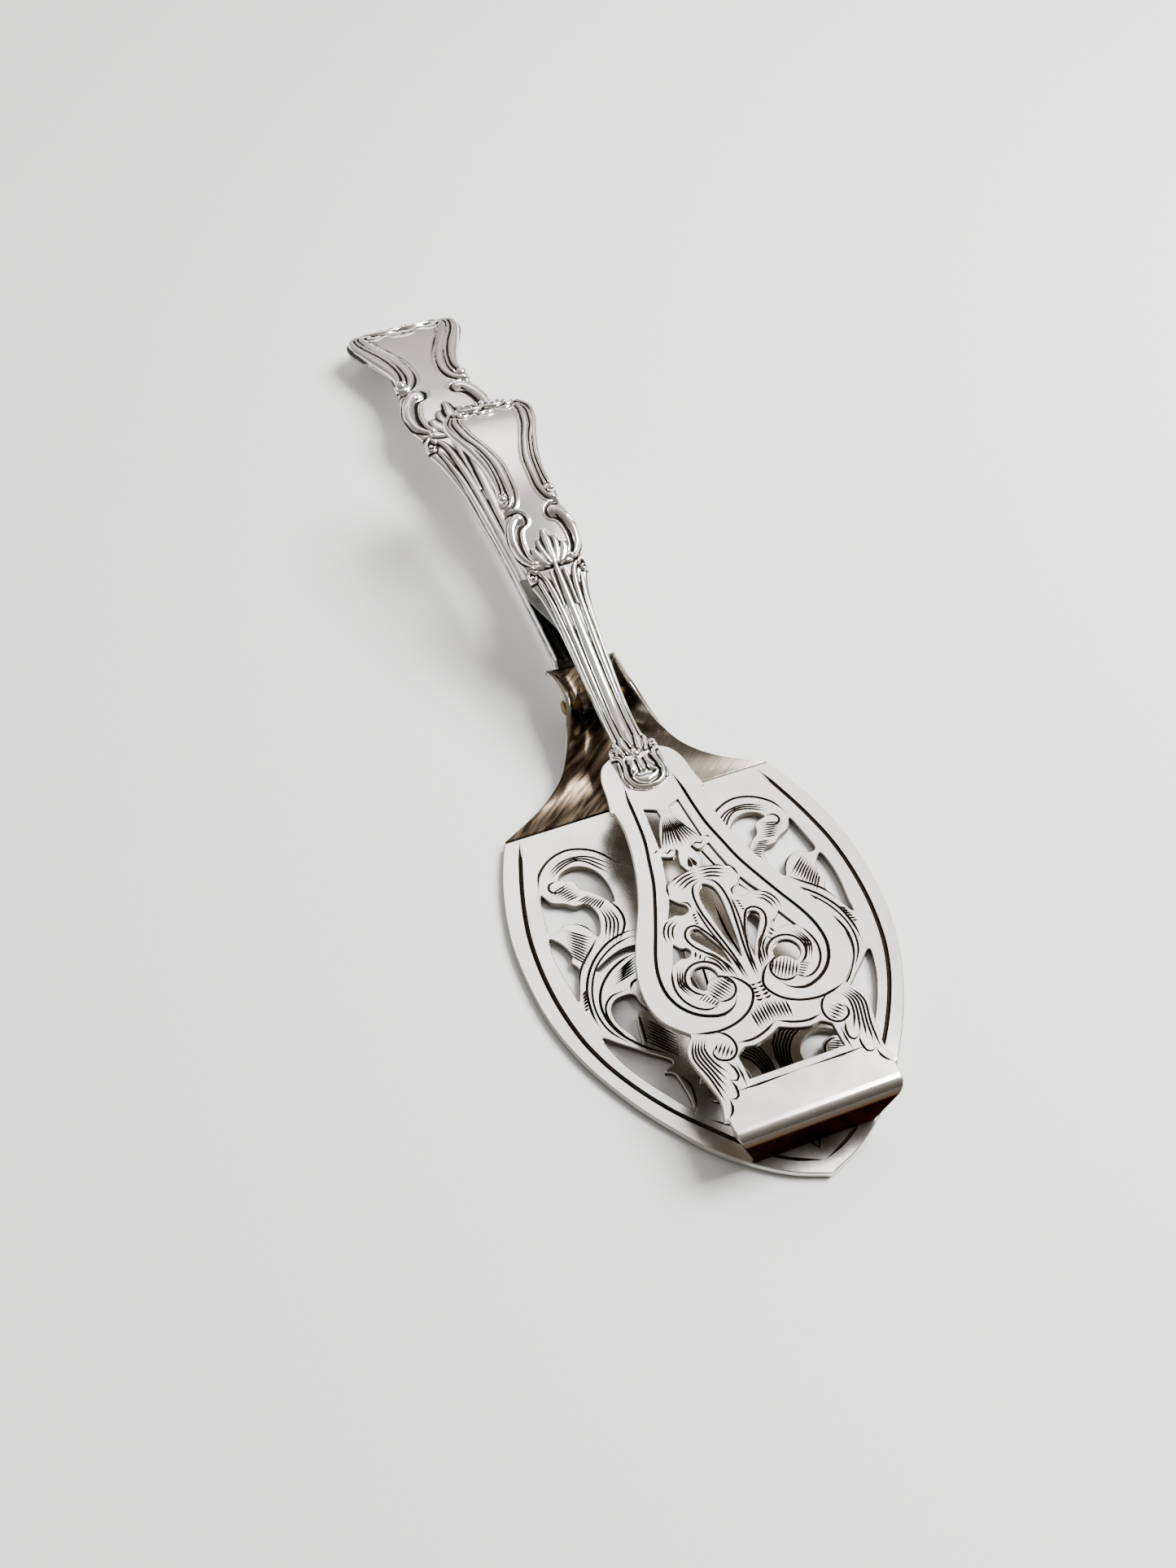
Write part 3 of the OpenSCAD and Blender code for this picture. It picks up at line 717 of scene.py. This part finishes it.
LONG_UNDER = smooth([
    (-125, 1.2), (-123, 0), (-121, 0), (-119, 0.8), (-112, 3.4), (-102, 6), (-90, 7.6), (-76, 8),
    (-60, 7.4), (-45, 6.4), (-24, 5.2), (-4, 4.9), (6, 3.8), (14, 1.6), (21, 0.6), (25, 1),
])
THUMB_HALF = smooth([
    (-59, 1.5), (-57.5, 4.4), (-54.5, 8.6), (-51, 10.2), (-47, 10), (-40, 7.8), (-33, 6.2),
    (-28, 6.1), (-25.5, 6.6), (-23, 6.2), (-18, 7.7), (-13, 7.3), (-10, 6.2), (-7.5, 6.5),
    (-3, 5.2), (4, 4.2), (13, 3.6), (22, 3.3), (30, 3.3), (33, 4.9), (38, 4.9), (42, 4.3),
    (43.8, 1.5),
], 0.2)
THUMB_TOP = smooth([
    (-59, 30.6), (-56, 32.2), (-50, 33.6), (-42, 33.9), (-34, 33.1), (-26, 31.5), (-18, 29.2),
    (-8, 25.7), (0, 22.9), (7, 20.5), (14, 18.1), (21, 16.1), (27, 14.9), (33, 14.5), (39, 14.3),
    (43.8, 13.6),
])
THUMB_UNDER = smooth([
    (-59, 28.8), (-56, 29.7), (-50, 30.9), (-42, 31.1), (-34, 30.3), (-26, 28.7), (-18, 26.4),
    (-8, 22.9), (0, 20.1), (6, 18), (11, 16.3), (19, 13.6), (27, 12.62), (43.8, 12.62),
])

# A raised band: its middle line on one side, the half widths along it, and its height.
# First the mouldings along the border of each handle's end.
THUMB_RIM = [
    ([(-54.2, 7.9), (-51, 9.65), (-47, 9.4), (-43, 8.1), (-40, 7.1), (-35, 5.85), (-30, 5.5),
      (-27.6, 5.7)], [0.5, 0.6, 0.75, 0.85, 0.8, 0.75, 0.6, 0.35], 0.75),
    ([(-53, 7.6), (-50, 8.75), (-45, 8), (-40, 6), (-35, 4.75), (-30, 4.5), (-27.4, 4.7)],
     [0.3, 0.34, 0.34, 0.34, 0.3], 0.5),
    ([(-52.6, 7), (-50, 7.5), (-45, 6.7), (-40, 4.8), (-35, 3.45), (-30, 3.2), (-26.5, 3.3),
      (-24.3, 4.2), (-23.6, 5.6), (-24.4, 6.6)],
     [0.4, 0.75, 0.8, 0.75, 0.8, 0.9, 0.9, 0.75, 0.5, 0.25], 0.65),
    ([(-52, 6.2), (-50, 6.35), (-45, 5.4), (-40, 3.6), (-35, 2.2), (-30, 1.95), (-27, 1.95),
      (-24.3, 2.7), (-22.9, 3.9)], [0.26], 0.26),
]
LONG_RIM = [
    ([(-123.8, 9.6), (-121, 13), (-118, 13.3), (-115, 12.6), (-110, 10.6), (-105, 8.8),
      (-100, 7.8), (-97.2, 8.1)], [0.6, 0.8, 1, 1.2, 1.6, 1.5, 1.25, 0.6], 0.8),
    ([(-122.6, 10.6), (-120, 11.9), (-115, 10.7), (-110, 8.45), (-105, 6.75), (-100, 5.95),
      (-97, 6.3)], [0.35, 0.44, 0.44, 0.4, 0.35], 0.55),
    ([(-122.2, 9.9), (-120, 10.4), (-115, 9.3), (-110, 7.1), (-105, 5.25), (-100, 4.4),
      (-96.5, 4.8), (-94.2, 6), (-93.4, 7.9), (-94.3, 9.2)],
     [0.5, 1, 1, 1, 1.1, 1.15, 1.2, 1, 0.7, 0.35], 0.7),
    ([(-121.5, 9), (-120, 9.05), (-115, 8), (-110, 5.8), (-105, 3.7), (-100, 2.8), (-97, 2.8),
      (-94.5, 3.7), (-92.9, 5.2)], [0.32], 0.28),
]
# What both handles share, in the thumb handle's own millimetres.
RAISED = [
    # crest: long leaves, a shell of lobes and the wavy line round it
    ([(-56.1, 5.5), (-54.9, 4.4), (-54.3, 2.4), (-54.5, 0.6)], [0.35, 0.85, 1, 0.45], 0.75),
    ([(-55.4, 7), (-54.2, 6.6), (-53.4, 5.3)], [0.4, 0.75, 0.4], 0.7),
    ([(-58.3, 0.9), (-56.4, 0.5)], [0.75, 0.4], 0.8),
    ([(-57.7, 2.8), (-56.2, 1.8)], [0.8, 0.4], 0.75),
    ([(-56.9, 4.3), (-55.9, 3.3)], [0.6, 0.35], 0.7),
    ([(-55.9, 0), (-54.9, 0)], [0.4, 0.6], 0.6),
    ([(-50.7, 0), (-51.1, 1.6), (-52.4, 2.6), (-52.2, 3.6), (-51.5, 5), (-52.1, 6.3), (-53, 7)],
     [0.28, 0.2, 0.28], 0.28),
    ([(-52.9, 0), (-52.4, 0.9), (-53, 2.2)], [0.5, 0.45, 0.3], 0.4),
    ([(-52.9, 3.8), (-52.6, 5), (-53, 5.9)], [0.3, 0.45, 0.3], 0.4),
    # C-scroll
    ([(-20.8, 3.8), (-20.4, 4.9), (-18.6, 6.1), (-16, 6.65), (-13, 6.35), (-11.2, 5.5),
      (-10.2, 4.6)], [1.15, 1.1, 1, 0.95, 0.85, 0.7, 0.45], 0.8),
    ([(-22.9, 3.6), (-22, 2.3), (-20.6, 1.8), (-19.1, 2.2), (-18.4, 3.5), (-17.2, 4.2),
      (-15, 4.6), (-12.8, 4.45), (-11.2, 3.9)], [0.24], 0.25),
    # leaf
    ([(-17, 0), (-15.2, 0), (-12.5, 0), (-9.6, 0)], [0.3, 0.95, 0.95, 0.55], 0.6),
    ([(-15.2, 1.7), (-13.6, 1.75), (-11.5, 1.3), (-9.6, 0.7)], [0.3, 0.7, 0.65, 0.3], 0.5),
    ([(-12.9, 3.2), (-11.9, 3), (-10.3, 2.2), (-9.2, 1.3)], [0.75, 1.1, 0.8, 0.3], 0.55),
    # fluted stem
    ([(-9, 0), (-6, 0), (0, 0), (14, 0), (31, 0)], [0.5, 0.85, 1.1, 1.2, 1.1], 0.6),
    ([(-8, 1.5), (-5, 1.5), (0, 1.45)], [0.25, 0.35, 0.2], 0.4),
    ([(-8.2, 4.7), (-9, 5.4), (-8.3, 6.3), (-7, 6.2), (-6.7, 5.2), (-7.5, 4.9)],
     [0.3, 0.42, 0.42, 0.4, 0.3, 0.2], 0.8),
    ([(-8.5, 5), (-8, 3.9), (-5.5, 2.9), (0, 2.3), (10, 2), (20, 1.85), (31, 1.8)],
     [0.4, 0.6, 0.7, 0.7, 0.62, 0.5, 0.45], 0.7),
    ([(-6, 4.6), (-3, 4), (0, 3.6), (8, 3.15), (15, 2.95), (22, 2.75), (31, 2.8)],
     [0.3, 0.5, 0.55, 0.5, 0.45, 0.4, 0.4], 0.6),
]
# A groove: its middle line on one side, its half width and its depth.
SUNK = [
    ([(-53.7, 0), (-53.5, 2.6), (-53.7, 4.4)], 0.5, 0.5),
    ([(-57, 0), (-55.2, 0.9)], 0.42, 0.5),
    ([(-57.1, 1.9), (-55.6, 1.6)], 0.42, 0.5),
    ([(-56.9, 3.6), (-55.6, 2.6)], 0.42, 0.5),
    ([(-55.9, 6.1), (-54.6, 5.6), (-53.6, 4.4)], 0.42, 0.5),
    ([(-22.4, 5.4), (-22.3, 3.6), (-20.8, 2.35), (-19.4, 2.8), (-18.9, 4.1), (-17.5, 4.9),
      (-15, 5.3), (-12.5, 5.1), (-10.8, 4.4)], 0.4, 0.4),
    ([(-22.5, 4.8), (-22.4, 7)], 0.6, 0.5),
    ([(-9.5, 6.4), (-9.4, 4.6), (-9, 3.2), (-8.9, 0.8)], 0.42, 0.5),
    ([(-16.3, 0), (-10.2, 0)], 0.22, 0.12),
    ([(-18.2, 6.4), (-15, 7.2), (-12, 6.6)], 0.18, 0.14),
]
# The drop that covers the joint with the upper blade: petals, scrolls, foliage and a crescent.
DROP_RAISED = [
    ([(29.6, 0), (31.4, 0), (33, 0)], [0.5, 0.95, 0.5], 0.75),
    ([(30.8, 1.7), (32.6, 1.7), (34.6, 1.2)], [0.5, 0.95, 0.5], 0.75),
    ([(31.4, 3.2), (33, 2.9), (34.8, 2.4)], [0.4, 0.7, 0.4], 0.6),
    ([(34.3, 3.6), (33.3, 3.6), (32.9, 4.4), (33.6, 5), (34.6, 4.7), (35.4, 3.6), (37.4, 3.3),
      (39.8, 3.7), (41.8, 3.2), (43, 1.8), (43.3, 0)],
     [0.3, 0.4, 0.45, 0.45, 0.45, 0.5, 0.5, 0.5, 0.5, 0.45], 0.8),
    ([(36.2, 4.1), (38, 4.3), (40.4, 4.5), (42.4, 3.7)], [0.2, 0.28, 0.28, 0.2], 0.55),
    ([(36.8, 0), (38.2, 0), (39.3, 0)], [0.5, 0.9, 0.5], 0.6),
    ([(36.6, 1.5), (37.8, 1.6), (38.8, 2.2)], [0.4, 0.75, 0.5], 0.6),
    ([(38.6, 1.1), (39.6, 1.7), (40, 2.5)], [0.3, 0.5, 0.3], 0.5),
    ([(40.4, 2.6), (41.3, 1.6), (41.6, 0)], [0.25, 0.75, 1.1], 0.7),
]
DROP_SUNK = [
    ([(35.9, 2.4), (38, 2.7), (39.9, 2.9)], 0.35, 0.4),
    ([(36.4, 0.8), (38.5, 0.9), (39.6, 1)], 0.25, 0.3),
]
# Pearls and beads: x, y on one side and radius.
PEARLS = [(-26, 5.3, 0.98), (-10.3, 3.95, 0.68), (-7.75, 5.55, 0.34)]
DROP_PEARLS = [(35.3, 0, 0.85), (33.75, 4.35, 0.36)]
# Matching places along the pattern: x on the thumb handle, then x on the long one. Below
# them, how many times as wide the long one's bands and grooves are.
STATIONS = ([-59, -54, -44, -32.5, -26, -20.5, -14, -10.4, -7.9, -3.5, 8, 20, 31],
            [-125, -121.5, -110, -100, -95.2, -90.3, -80, -75.8, -71, -64, -30, -2, 1])
LONG_BANDS, LONG_GROOVES = 1.35, 1.3

# How a casting is shaped: a band's share of the width it is given, how far the pattern's
# ground lies under the face, how far in its edge rolls over, and how much it is crowned.
BAND_SHARE = 0.94
GROUND = 0.85
EDGE_ROLL = 1.1
CROWN = 0.3
BACK_POINTS = 15


def to_long(points):
    """Carries a spot of the thumb handle's pattern to the long handle's."""
    p = np.array(points, float)
    x = np.interp(p[:, 0], *STATIONS)
    scale = np.interp(x, *LONG_HALF.T) / np.interp(p[:, 0], *THUMB_HALF.T)
    out = np.c_[x, p[:, 1] * scale]
    return np.c_[out, p[:, 2] * scale] if p.shape[1] == 3 else out


def raise_band(height, spots, path, half, top):
    """Adds a half-round band along a path to a height map."""
    low, high = path.min(0) - max(half), path.max(0) + max(half)
    near = np.nonzero(((spots > low) & (spots < high)).all(1))[0]
    for part in np.array_split(near, len(near) // 5000 + 1):
        d, spot = distance_to(spots[part], path, False)
        reach = np.interp(spot, np.linspace(0, len(path) - 1, len(half)), half) * BAND_SHARE
        height[part] = np.maximum(height[part], top * np.sqrt(np.clip(1 - (d / reach)**2, 0, 1)))


def blurred(grid, across, along):
    """A height map averaged over so many cells on each side, across and along the handle."""
    for axis, reach in ((0, along), (1, across)):
        kernel = np.hanning(2 * reach + 3)[1:-1]
        kernel /= kernel.sum()
        pad = [(reach, reach) if k == axis else (0, 0) for k in (0, 1)]
        grid = np.apply_along_axis(np.convolve, axis, np.pad(grid, pad, "edge"), kernel, "valid")
    return grid


def handle_mesh(name, half_line, top_line, under_line, raised, sunk, rows, columns,
                shade_past=None):
    """A cast handle: the pattern stands on its face, the back is plain and gently rounded.

    Past an x, if one is given, its middle is also painted dark as shade. Returns the mesh and a
    function that gives the spot on its face at an x and y.
    """
    run = np.r_[0, np.cumsum(np.linalg.norm(np.diff(half_line, axis=0), axis=1))]
    at = np.linspace(0, run[-1], rows)
    x, half = np.interp(at, run, half_line[:, 0]), np.interp(at, run, half_line[:, 1])
    t = np.sin(np.linspace(-math.pi / 2, math.pi / 2, columns)) * 0.35
    t = t + np.linspace(-1, 1, columns) * 0.65
    X, Y = np.repeat(x, columns), np.outer(half, t).ravel()
    spots = np.c_[X, np.abs(Y)]

    height = np.zeros(len(spots))
    for path, widths, top in raised:
        raise_band(height, spots, smooth(path, 0.4), widths, top)
    for path, width, deep in sunk:
        mask = np.zeros(len(spots))
        raise_band(mask, spots, smooth(path, 0.4), [width], 1)
        height -= deep * mask**2
    pattern = blurred(height.reshape(rows, columns), 1, 1)

    to_edge = np.zeros(len(spots))
    for part in np.array_split(np.arange(len(spots)), len(spots) // 2500 + 1):
        to_edge[part] = distance_to(spots[part], half_line[::3], False)[0]
    to_end = np.minimum(X - x[0], x[-1] - X)
    fall = np.clip(1 - np.minimum(to_edge, to_end) / EDGE_ROLL, 0, 1)
    drop = 0.9 * EDGE_ROLL * (1 - np.sqrt(1 - fall**2 * 0.98))
    crown = CROWN * (np.abs(Y) / np.repeat(np.maximum(half, 3), columns))**2
    under = np.interp(x, *under_line.T)
    ground = np.repeat(np.interp(x, *top_line.T), columns) - GROUND - drop - crown
    Z = np.maximum(ground + pattern.ravel(), np.repeat(under, columns) + 0.15)
    face = np.c_[X, Y, Z].reshape(rows, columns, 3)

    # Oxide darkens the pattern's recesses; past the given x the middle also gets painted shade.
    hollows_and_shade = np.clip((blurred(pattern, 6, 5) - pattern) * 4.5, 0, 1)
    if shade_past is not None:
        past = np.clip((X - shade_past) / 3, 0, 1).reshape(rows, columns)
        hollows_and_shade = np.maximum(hollows_and_shade, past * np.clip((0.9 - np.abs(t)) * 10, 0, 1) * 0.75)

    angle = np.linspace(0, math.pi, BACK_POINTS + 2)[1:-1]
    rim_z = face[:, 0, 2]
    back_y = half[:, None] * np.cos(angle)
    back_z = rim_z[:, None] - (rim_z - under)[:, None] * np.sin(angle) ** 0.55
    back = np.stack([np.repeat(x[:, None], BACK_POINTS, 1), back_y, back_z], 2)
    mesh = loft(name, np.concatenate([face, back], 1))
    dark = np.concatenate([hollows_and_shade, np.zeros((rows, BACK_POINTS))], 1).ravel().astype(np.float32)
    mesh.attributes.new("hollows_and_shade", "FLOAT", "POINT").data.foreach_set("value", dark)
    mesh.shade_smooth()

    def surface(px, py):
        row = np.abs(x - px).argmin()
        column = np.abs(t - py / np.interp(px, x, half)).argmin()
        return Vector((px, py, float(face[row, column, 2])))

    return mesh, surface


def growing(name, **inputs):
    """A geometry node tree that takes a mesh and named values, and the node that gives them."""
    tree = bpy.data.node_groups.new(name, "GeometryNodeTree")
    tree.interface.new_socket("Geometry", in_out="INPUT", socket_type="NodeSocketGeometry")
    for title, kind in inputs.items():
        tree.interface.new_socket(title, in_out="INPUT", socket_type="NodeSocket" + kind)
    tree.interface.new_socket("Geometry", in_out="OUTPUT", socket_type="NodeSocketGeometry")
    return tree, tree.nodes.new("NodeGroupInput")


def pearls(name, centres):
    """Beads of given centre and radius in mm, each a round ball set into the casting."""
    mesh = mesh_of(name, [c[:] for c, _ in centres], [], [])
    radii = [r * MM for _, r in centres]
    mesh.attributes.new("radius", "FLOAT", "POINT").data.foreach_set("value", radii)
    tree, given = growing(name)
    ball = node(tree, "GeometryNodeMeshIcoSphere", Radius=1, Subdivisions=4)
    radius = node(tree, "GeometryNodeInputNamedAttribute", data_type="FLOAT", Name="radius")
    placed = node(tree, "GeometryNodeInstanceOnPoints", {
        "Points": given.outputs[0], "Instance": ball.outputs[0], "Scale": radius.outputs[0]})
    real = node(tree, "GeometryNodeRealizeInstances", {0: placed.outputs[0]})
    soft = node(tree, "GeometryNodeSetShadeSmooth", {0: real.outputs[0]})
    node(tree, "NodeGroupOutput", {0: soft.outputs[0]})
    balls = grown(name, mesh, tree, {})
    # The tree leaves an empty slot, which would stay beside the casting's own material.
    balls.materials.clear()
    return balls


def grown(name, mesh, tree, values):
    """The plain mesh that a node tree makes of a mesh."""
    seed = added(name + "_seed", mesh)
    modifier = seed.modifiers.new("grow", "NODES")
    modifier.node_group = tree
    for item in tree.interface.items_tree:
        if item.in_out == "INPUT" and item.name in values:
            modifier[item.identifier] = values[item.name]
    bpy.context.view_layer.update()
    done = bpy.data.meshes.new_from_object(seed.evaluated_get(bpy.context.evaluated_depsgraph_get()))
    seed.modifiers.remove(modifier)
    bpy.data.objects.remove(seed)
    return done


# Cast sterling: polished where it stands proud, oxide-dark in the recesses, painted shade under the
# thumb handle.
cast_silver, tree, shader, place = metal("oxidised cast sterling, painted shade", 0.2)
mask = node(tree, "ShaderNodeAttribute", attribute_name="hollows_and_shade")
cloud = node(tree, "ShaderNodeTexNoise", {"Vector": place}, Scale=300, Detail=5, Roughness=0.6)
ragged = node(tree, "ShaderNodeMath", {0: mask.outputs["Fac"], 1: cloud.outputs["Fac"]},
              operation="MULTIPLY")
# Darkness from oxide in the recesses and from painted shade under the thumb handle.
oxide_and_shade = ranged(tree, ragged.outputs[0], 0.06, 0.24)
tree.links.new(mixed(tree, oxide_and_shade, "#F4F1EA", "#1E1814"), shader.inputs["Base Color"])
tree.links.new(ranged(tree, oxide_and_shade, 0, 1, 0.12, 0.5), shader.inputs["Roughness"])
uneven(tree, shader, cloud.outputs["Fac"], 0.15, 0.00005)

thumb_mesh, thumb_face = handle_mesh(
    "thumb_handle", THUMB_HALF, THUMB_TOP, THUMB_UNDER, THUMB_RIM + RAISED + DROP_RAISED,
    SUNK + DROP_SUNK, rows=780, columns=105)
# Past x = -20 the long handle's middle lies under the spring and the thumb handle: painted shade.
long_mesh, long_face = handle_mesh(
    "long_handle", LONG_HALF, LONG_TOP, LONG_UNDER,
    LONG_RIM + [(to_long(p), [w * LONG_BANDS for w in ws], top) for p, ws, top in RAISED],
    [(to_long(p), w * LONG_GROOVES, deep) for p, w, deep in SUNK], rows=800, columns=101,
    shade_past=-20)


def seats(spots, surface):
    """Bead centres on both sides of a handle, a tenth of a radius above its face."""
    out = []
    for x, y, r in spots:
        for side in ((1, -1) if y else (1,)):
            c = surface(x, y * side)
            c.z += r * 0.1
            out.append((c, r))
    return out


thumb_pearls = pearls("thumb_pearls", seats(PEARLS + DROP_PEARLS, thumb_face))
long_pearls = pearls("long_pearls", seats(to_long(PEARLS), long_face))
piece("thumb_handle", [thumb_mesh, thumb_pearls], [cast_silver], "upper", ["upper_handle"])
piece("long_handle", [long_mesh, long_pearls], [cast_silver], "lower", ["lower_handle"])


# ---- Leaf spring ----
# A strip of spring steel, riveted flat on the long handle at its tail and curved up so that
# its free end presses under the thumb handle and keeps the blades shut. Left unpolished.

LEAF_LINE = smooth([(-22, 9.85), (-17.2, 9.85), (-14.4, 10.5), (-12, 11.5), (-8, 13.4), (-4, 15.4),
                    (0, 17.3), (3.6, 18.4)], 0.25)
LEAF_WIDTH, LEAF_THICK, LEAF_EDGE = 7.4, 0.7, 0.14
leaf_path = mesh_of("leaf_path", [(x, 0, z) for x, z in LEAF_LINE],
                    [(k, k + 1) for k in range(len(LEAF_LINE) - 1)], [])
strip_tree, given = growing("leaf_strip", Finish="Material", Width="Float", Thickness="Float")
curve = node(strip_tree, "GeometryNodeMeshToCurve", {0: given.outputs[0]})
upright = node(strip_tree, "GeometryNodeSetCurveNormal", {0: curve.outputs[0]}, mode="Z_UP")
bar = node(strip_tree, "GeometryNodeCurvePrimitiveQuadrilateral",
           {"Width": given.outputs["Width"], "Height": given.outputs["Thickness"]})
eased = node(strip_tree, "GeometryNodeFilletCurve", {0: bar.outputs[0]}, mode="POLY",
             Radius=LEAF_EDGE * MM, Count=3)
strip = node(strip_tree, "GeometryNodeCurveToMesh",
             {0: upright.outputs[0], 1: eased.outputs[0]}, Fill_Caps=True)
finish = node(strip_tree, "GeometryNodeSetMaterial",
              {0: strip.outputs[0], "Material": given.outputs["Finish"]})
node(strip_tree, "NodeGroupOutput", {0: finish.outputs[0]})

# Spring steel as rolled and hardened: grey, blotched by heat and age, faintly rough.
blotched_steel, tree, shader, patches = mottled(
    "hardened spring steel", 0.4, 350, 6, "#222424", "#7F807C", grain=0.7)
uneven(tree, shader, patches, 0.3, 0.00005)
leaf_mesh = grown("leaf_spring", leaf_path, strip_tree, {
    "Finish": blotched_steel, "Width": LEAF_WIDTH * MM, "Thickness": LEAF_THICK * MM})
leaf = added("leaf_spring_strip", leaf_mesh)
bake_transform(leaf)
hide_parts("leaf_spring")


# ---- Hinge and rivet ----
# The lug under the upper blade is plain silver. It turns on a brass pin through the shoulder's
# walls, and a brass rivet holds the spring's tail. Both are headed over and never polished.

plain_silver, *_ = mottled("plain sterling, tarnished", 0.3, 250, 4, "#3A3026", "#9A8F7D")
brass, *_ = mottled("tarnished brass wire", 0.4, 500, 4, "#2A2014", "#7C653C")
for name, finish in (("hinge_lug", plain_silver), ("hinge_pin", brass), ("spring_rivet", brass)):
    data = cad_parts[name].data
    data.materials.clear()
    data.materials.append(finish)


# ---- Studio ----
# A pale sheet a little below the piece, one soft light high on its +Y side, a bright window
# overhead for the silver to mirror, and the viewpoint.

camera_data = bpy.data.cameras.new("camera")
camera = added("camera", camera_data)
bpy.context.scene.camera = camera
camera_data.sensor_width = 36
camera_data.lens = 39.8
camera_data.clip_start = 0.01
look_at = Vector((0.0286, -0.0075, 0))
elevation, swing, distance = math.radians(50.85), math.radians(21.3), 0.3535
back = Vector((math.cos(swing) * math.cos(elevation), -math.sin(swing) * math.cos(elevation),
               math.sin(elevation)))
camera.location = look_at + back * distance
camera.rotation_mode = "QUATERNION"
camera.rotation_quaternion = (-back).to_track_quat("-Z", "Y")

FLOOR_Z, FLOOR_HALF = -0.8, 3000
corners = [(x * FLOOR_HALF, y * FLOOR_HALF, FLOOR_Z) for x, y in ((-1, -1), (1, -1), (1, 1), (-1, 1))]
floor_mesh = mesh_of("floor", corners, [], [(0, 1, 2, 3)])
floor = added("floor", floor_mesh)
paper = bpy.data.materials.new("pale paper")
paper.use_nodes = True
coat = paper.node_tree.nodes["Principled BSDF"].inputs
coat["Base Color"].default_value = linear("#F0F1F0")
coat["Roughness"].default_value = 0.8
floor_mesh.materials.append(paper)

world = bpy.data.worlds.new("studio")
bpy.context.scene.world = world
world.use_nodes = True
sky = world.node_tree
direction = sky.nodes.new("ShaderNodeTexCoord").outputs["Generated"]
# The room's brightness, from all round up to straight at the window.
toward = node(sky, "ShaderNodeVectorMath", {0: direction}, operation="DOT_PRODUCT")
toward.inputs[1].default_value = (-0.633, 0.167, 0.756)
overhead = node(sky, "ShaderNodeValToRGB", {"Fac": toward.outputs["Value"]})
steps = [(0, "#4A4845"), (0.5, "#625F5C"), (0.78, "#757370"), (0.94, "#8D8A87"), (0.985, "#E9E7E4"),
         (1, "#FFFFFF")]
while len(overhead.color_ramp.elements) < len(steps):
    overhead.color_ramp.elements.new(0.5)
for element, (position, colour) in zip(overhead.color_ramp.elements, steps):
    element.position = position
    element.color = linear(colour)
sky.links.new(overhead.outputs["Color"], sky.nodes["Background"].inputs["Color"])
sky.nodes["Background"].inputs["Strength"].default_value = 3.4

light_data = bpy.data.lights.new("softbox", "AREA")
light_data.shape = "RECTANGLE"
light_data.size, light_data.size_y = 0.42, 0.42
light_data.energy = 18
light = added("softbox", light_data)
light.location = (0.04, 0.46, 0.68)
light.rotation_euler = (-light.location).to_track_quat("-Z", "Y").to_euler()
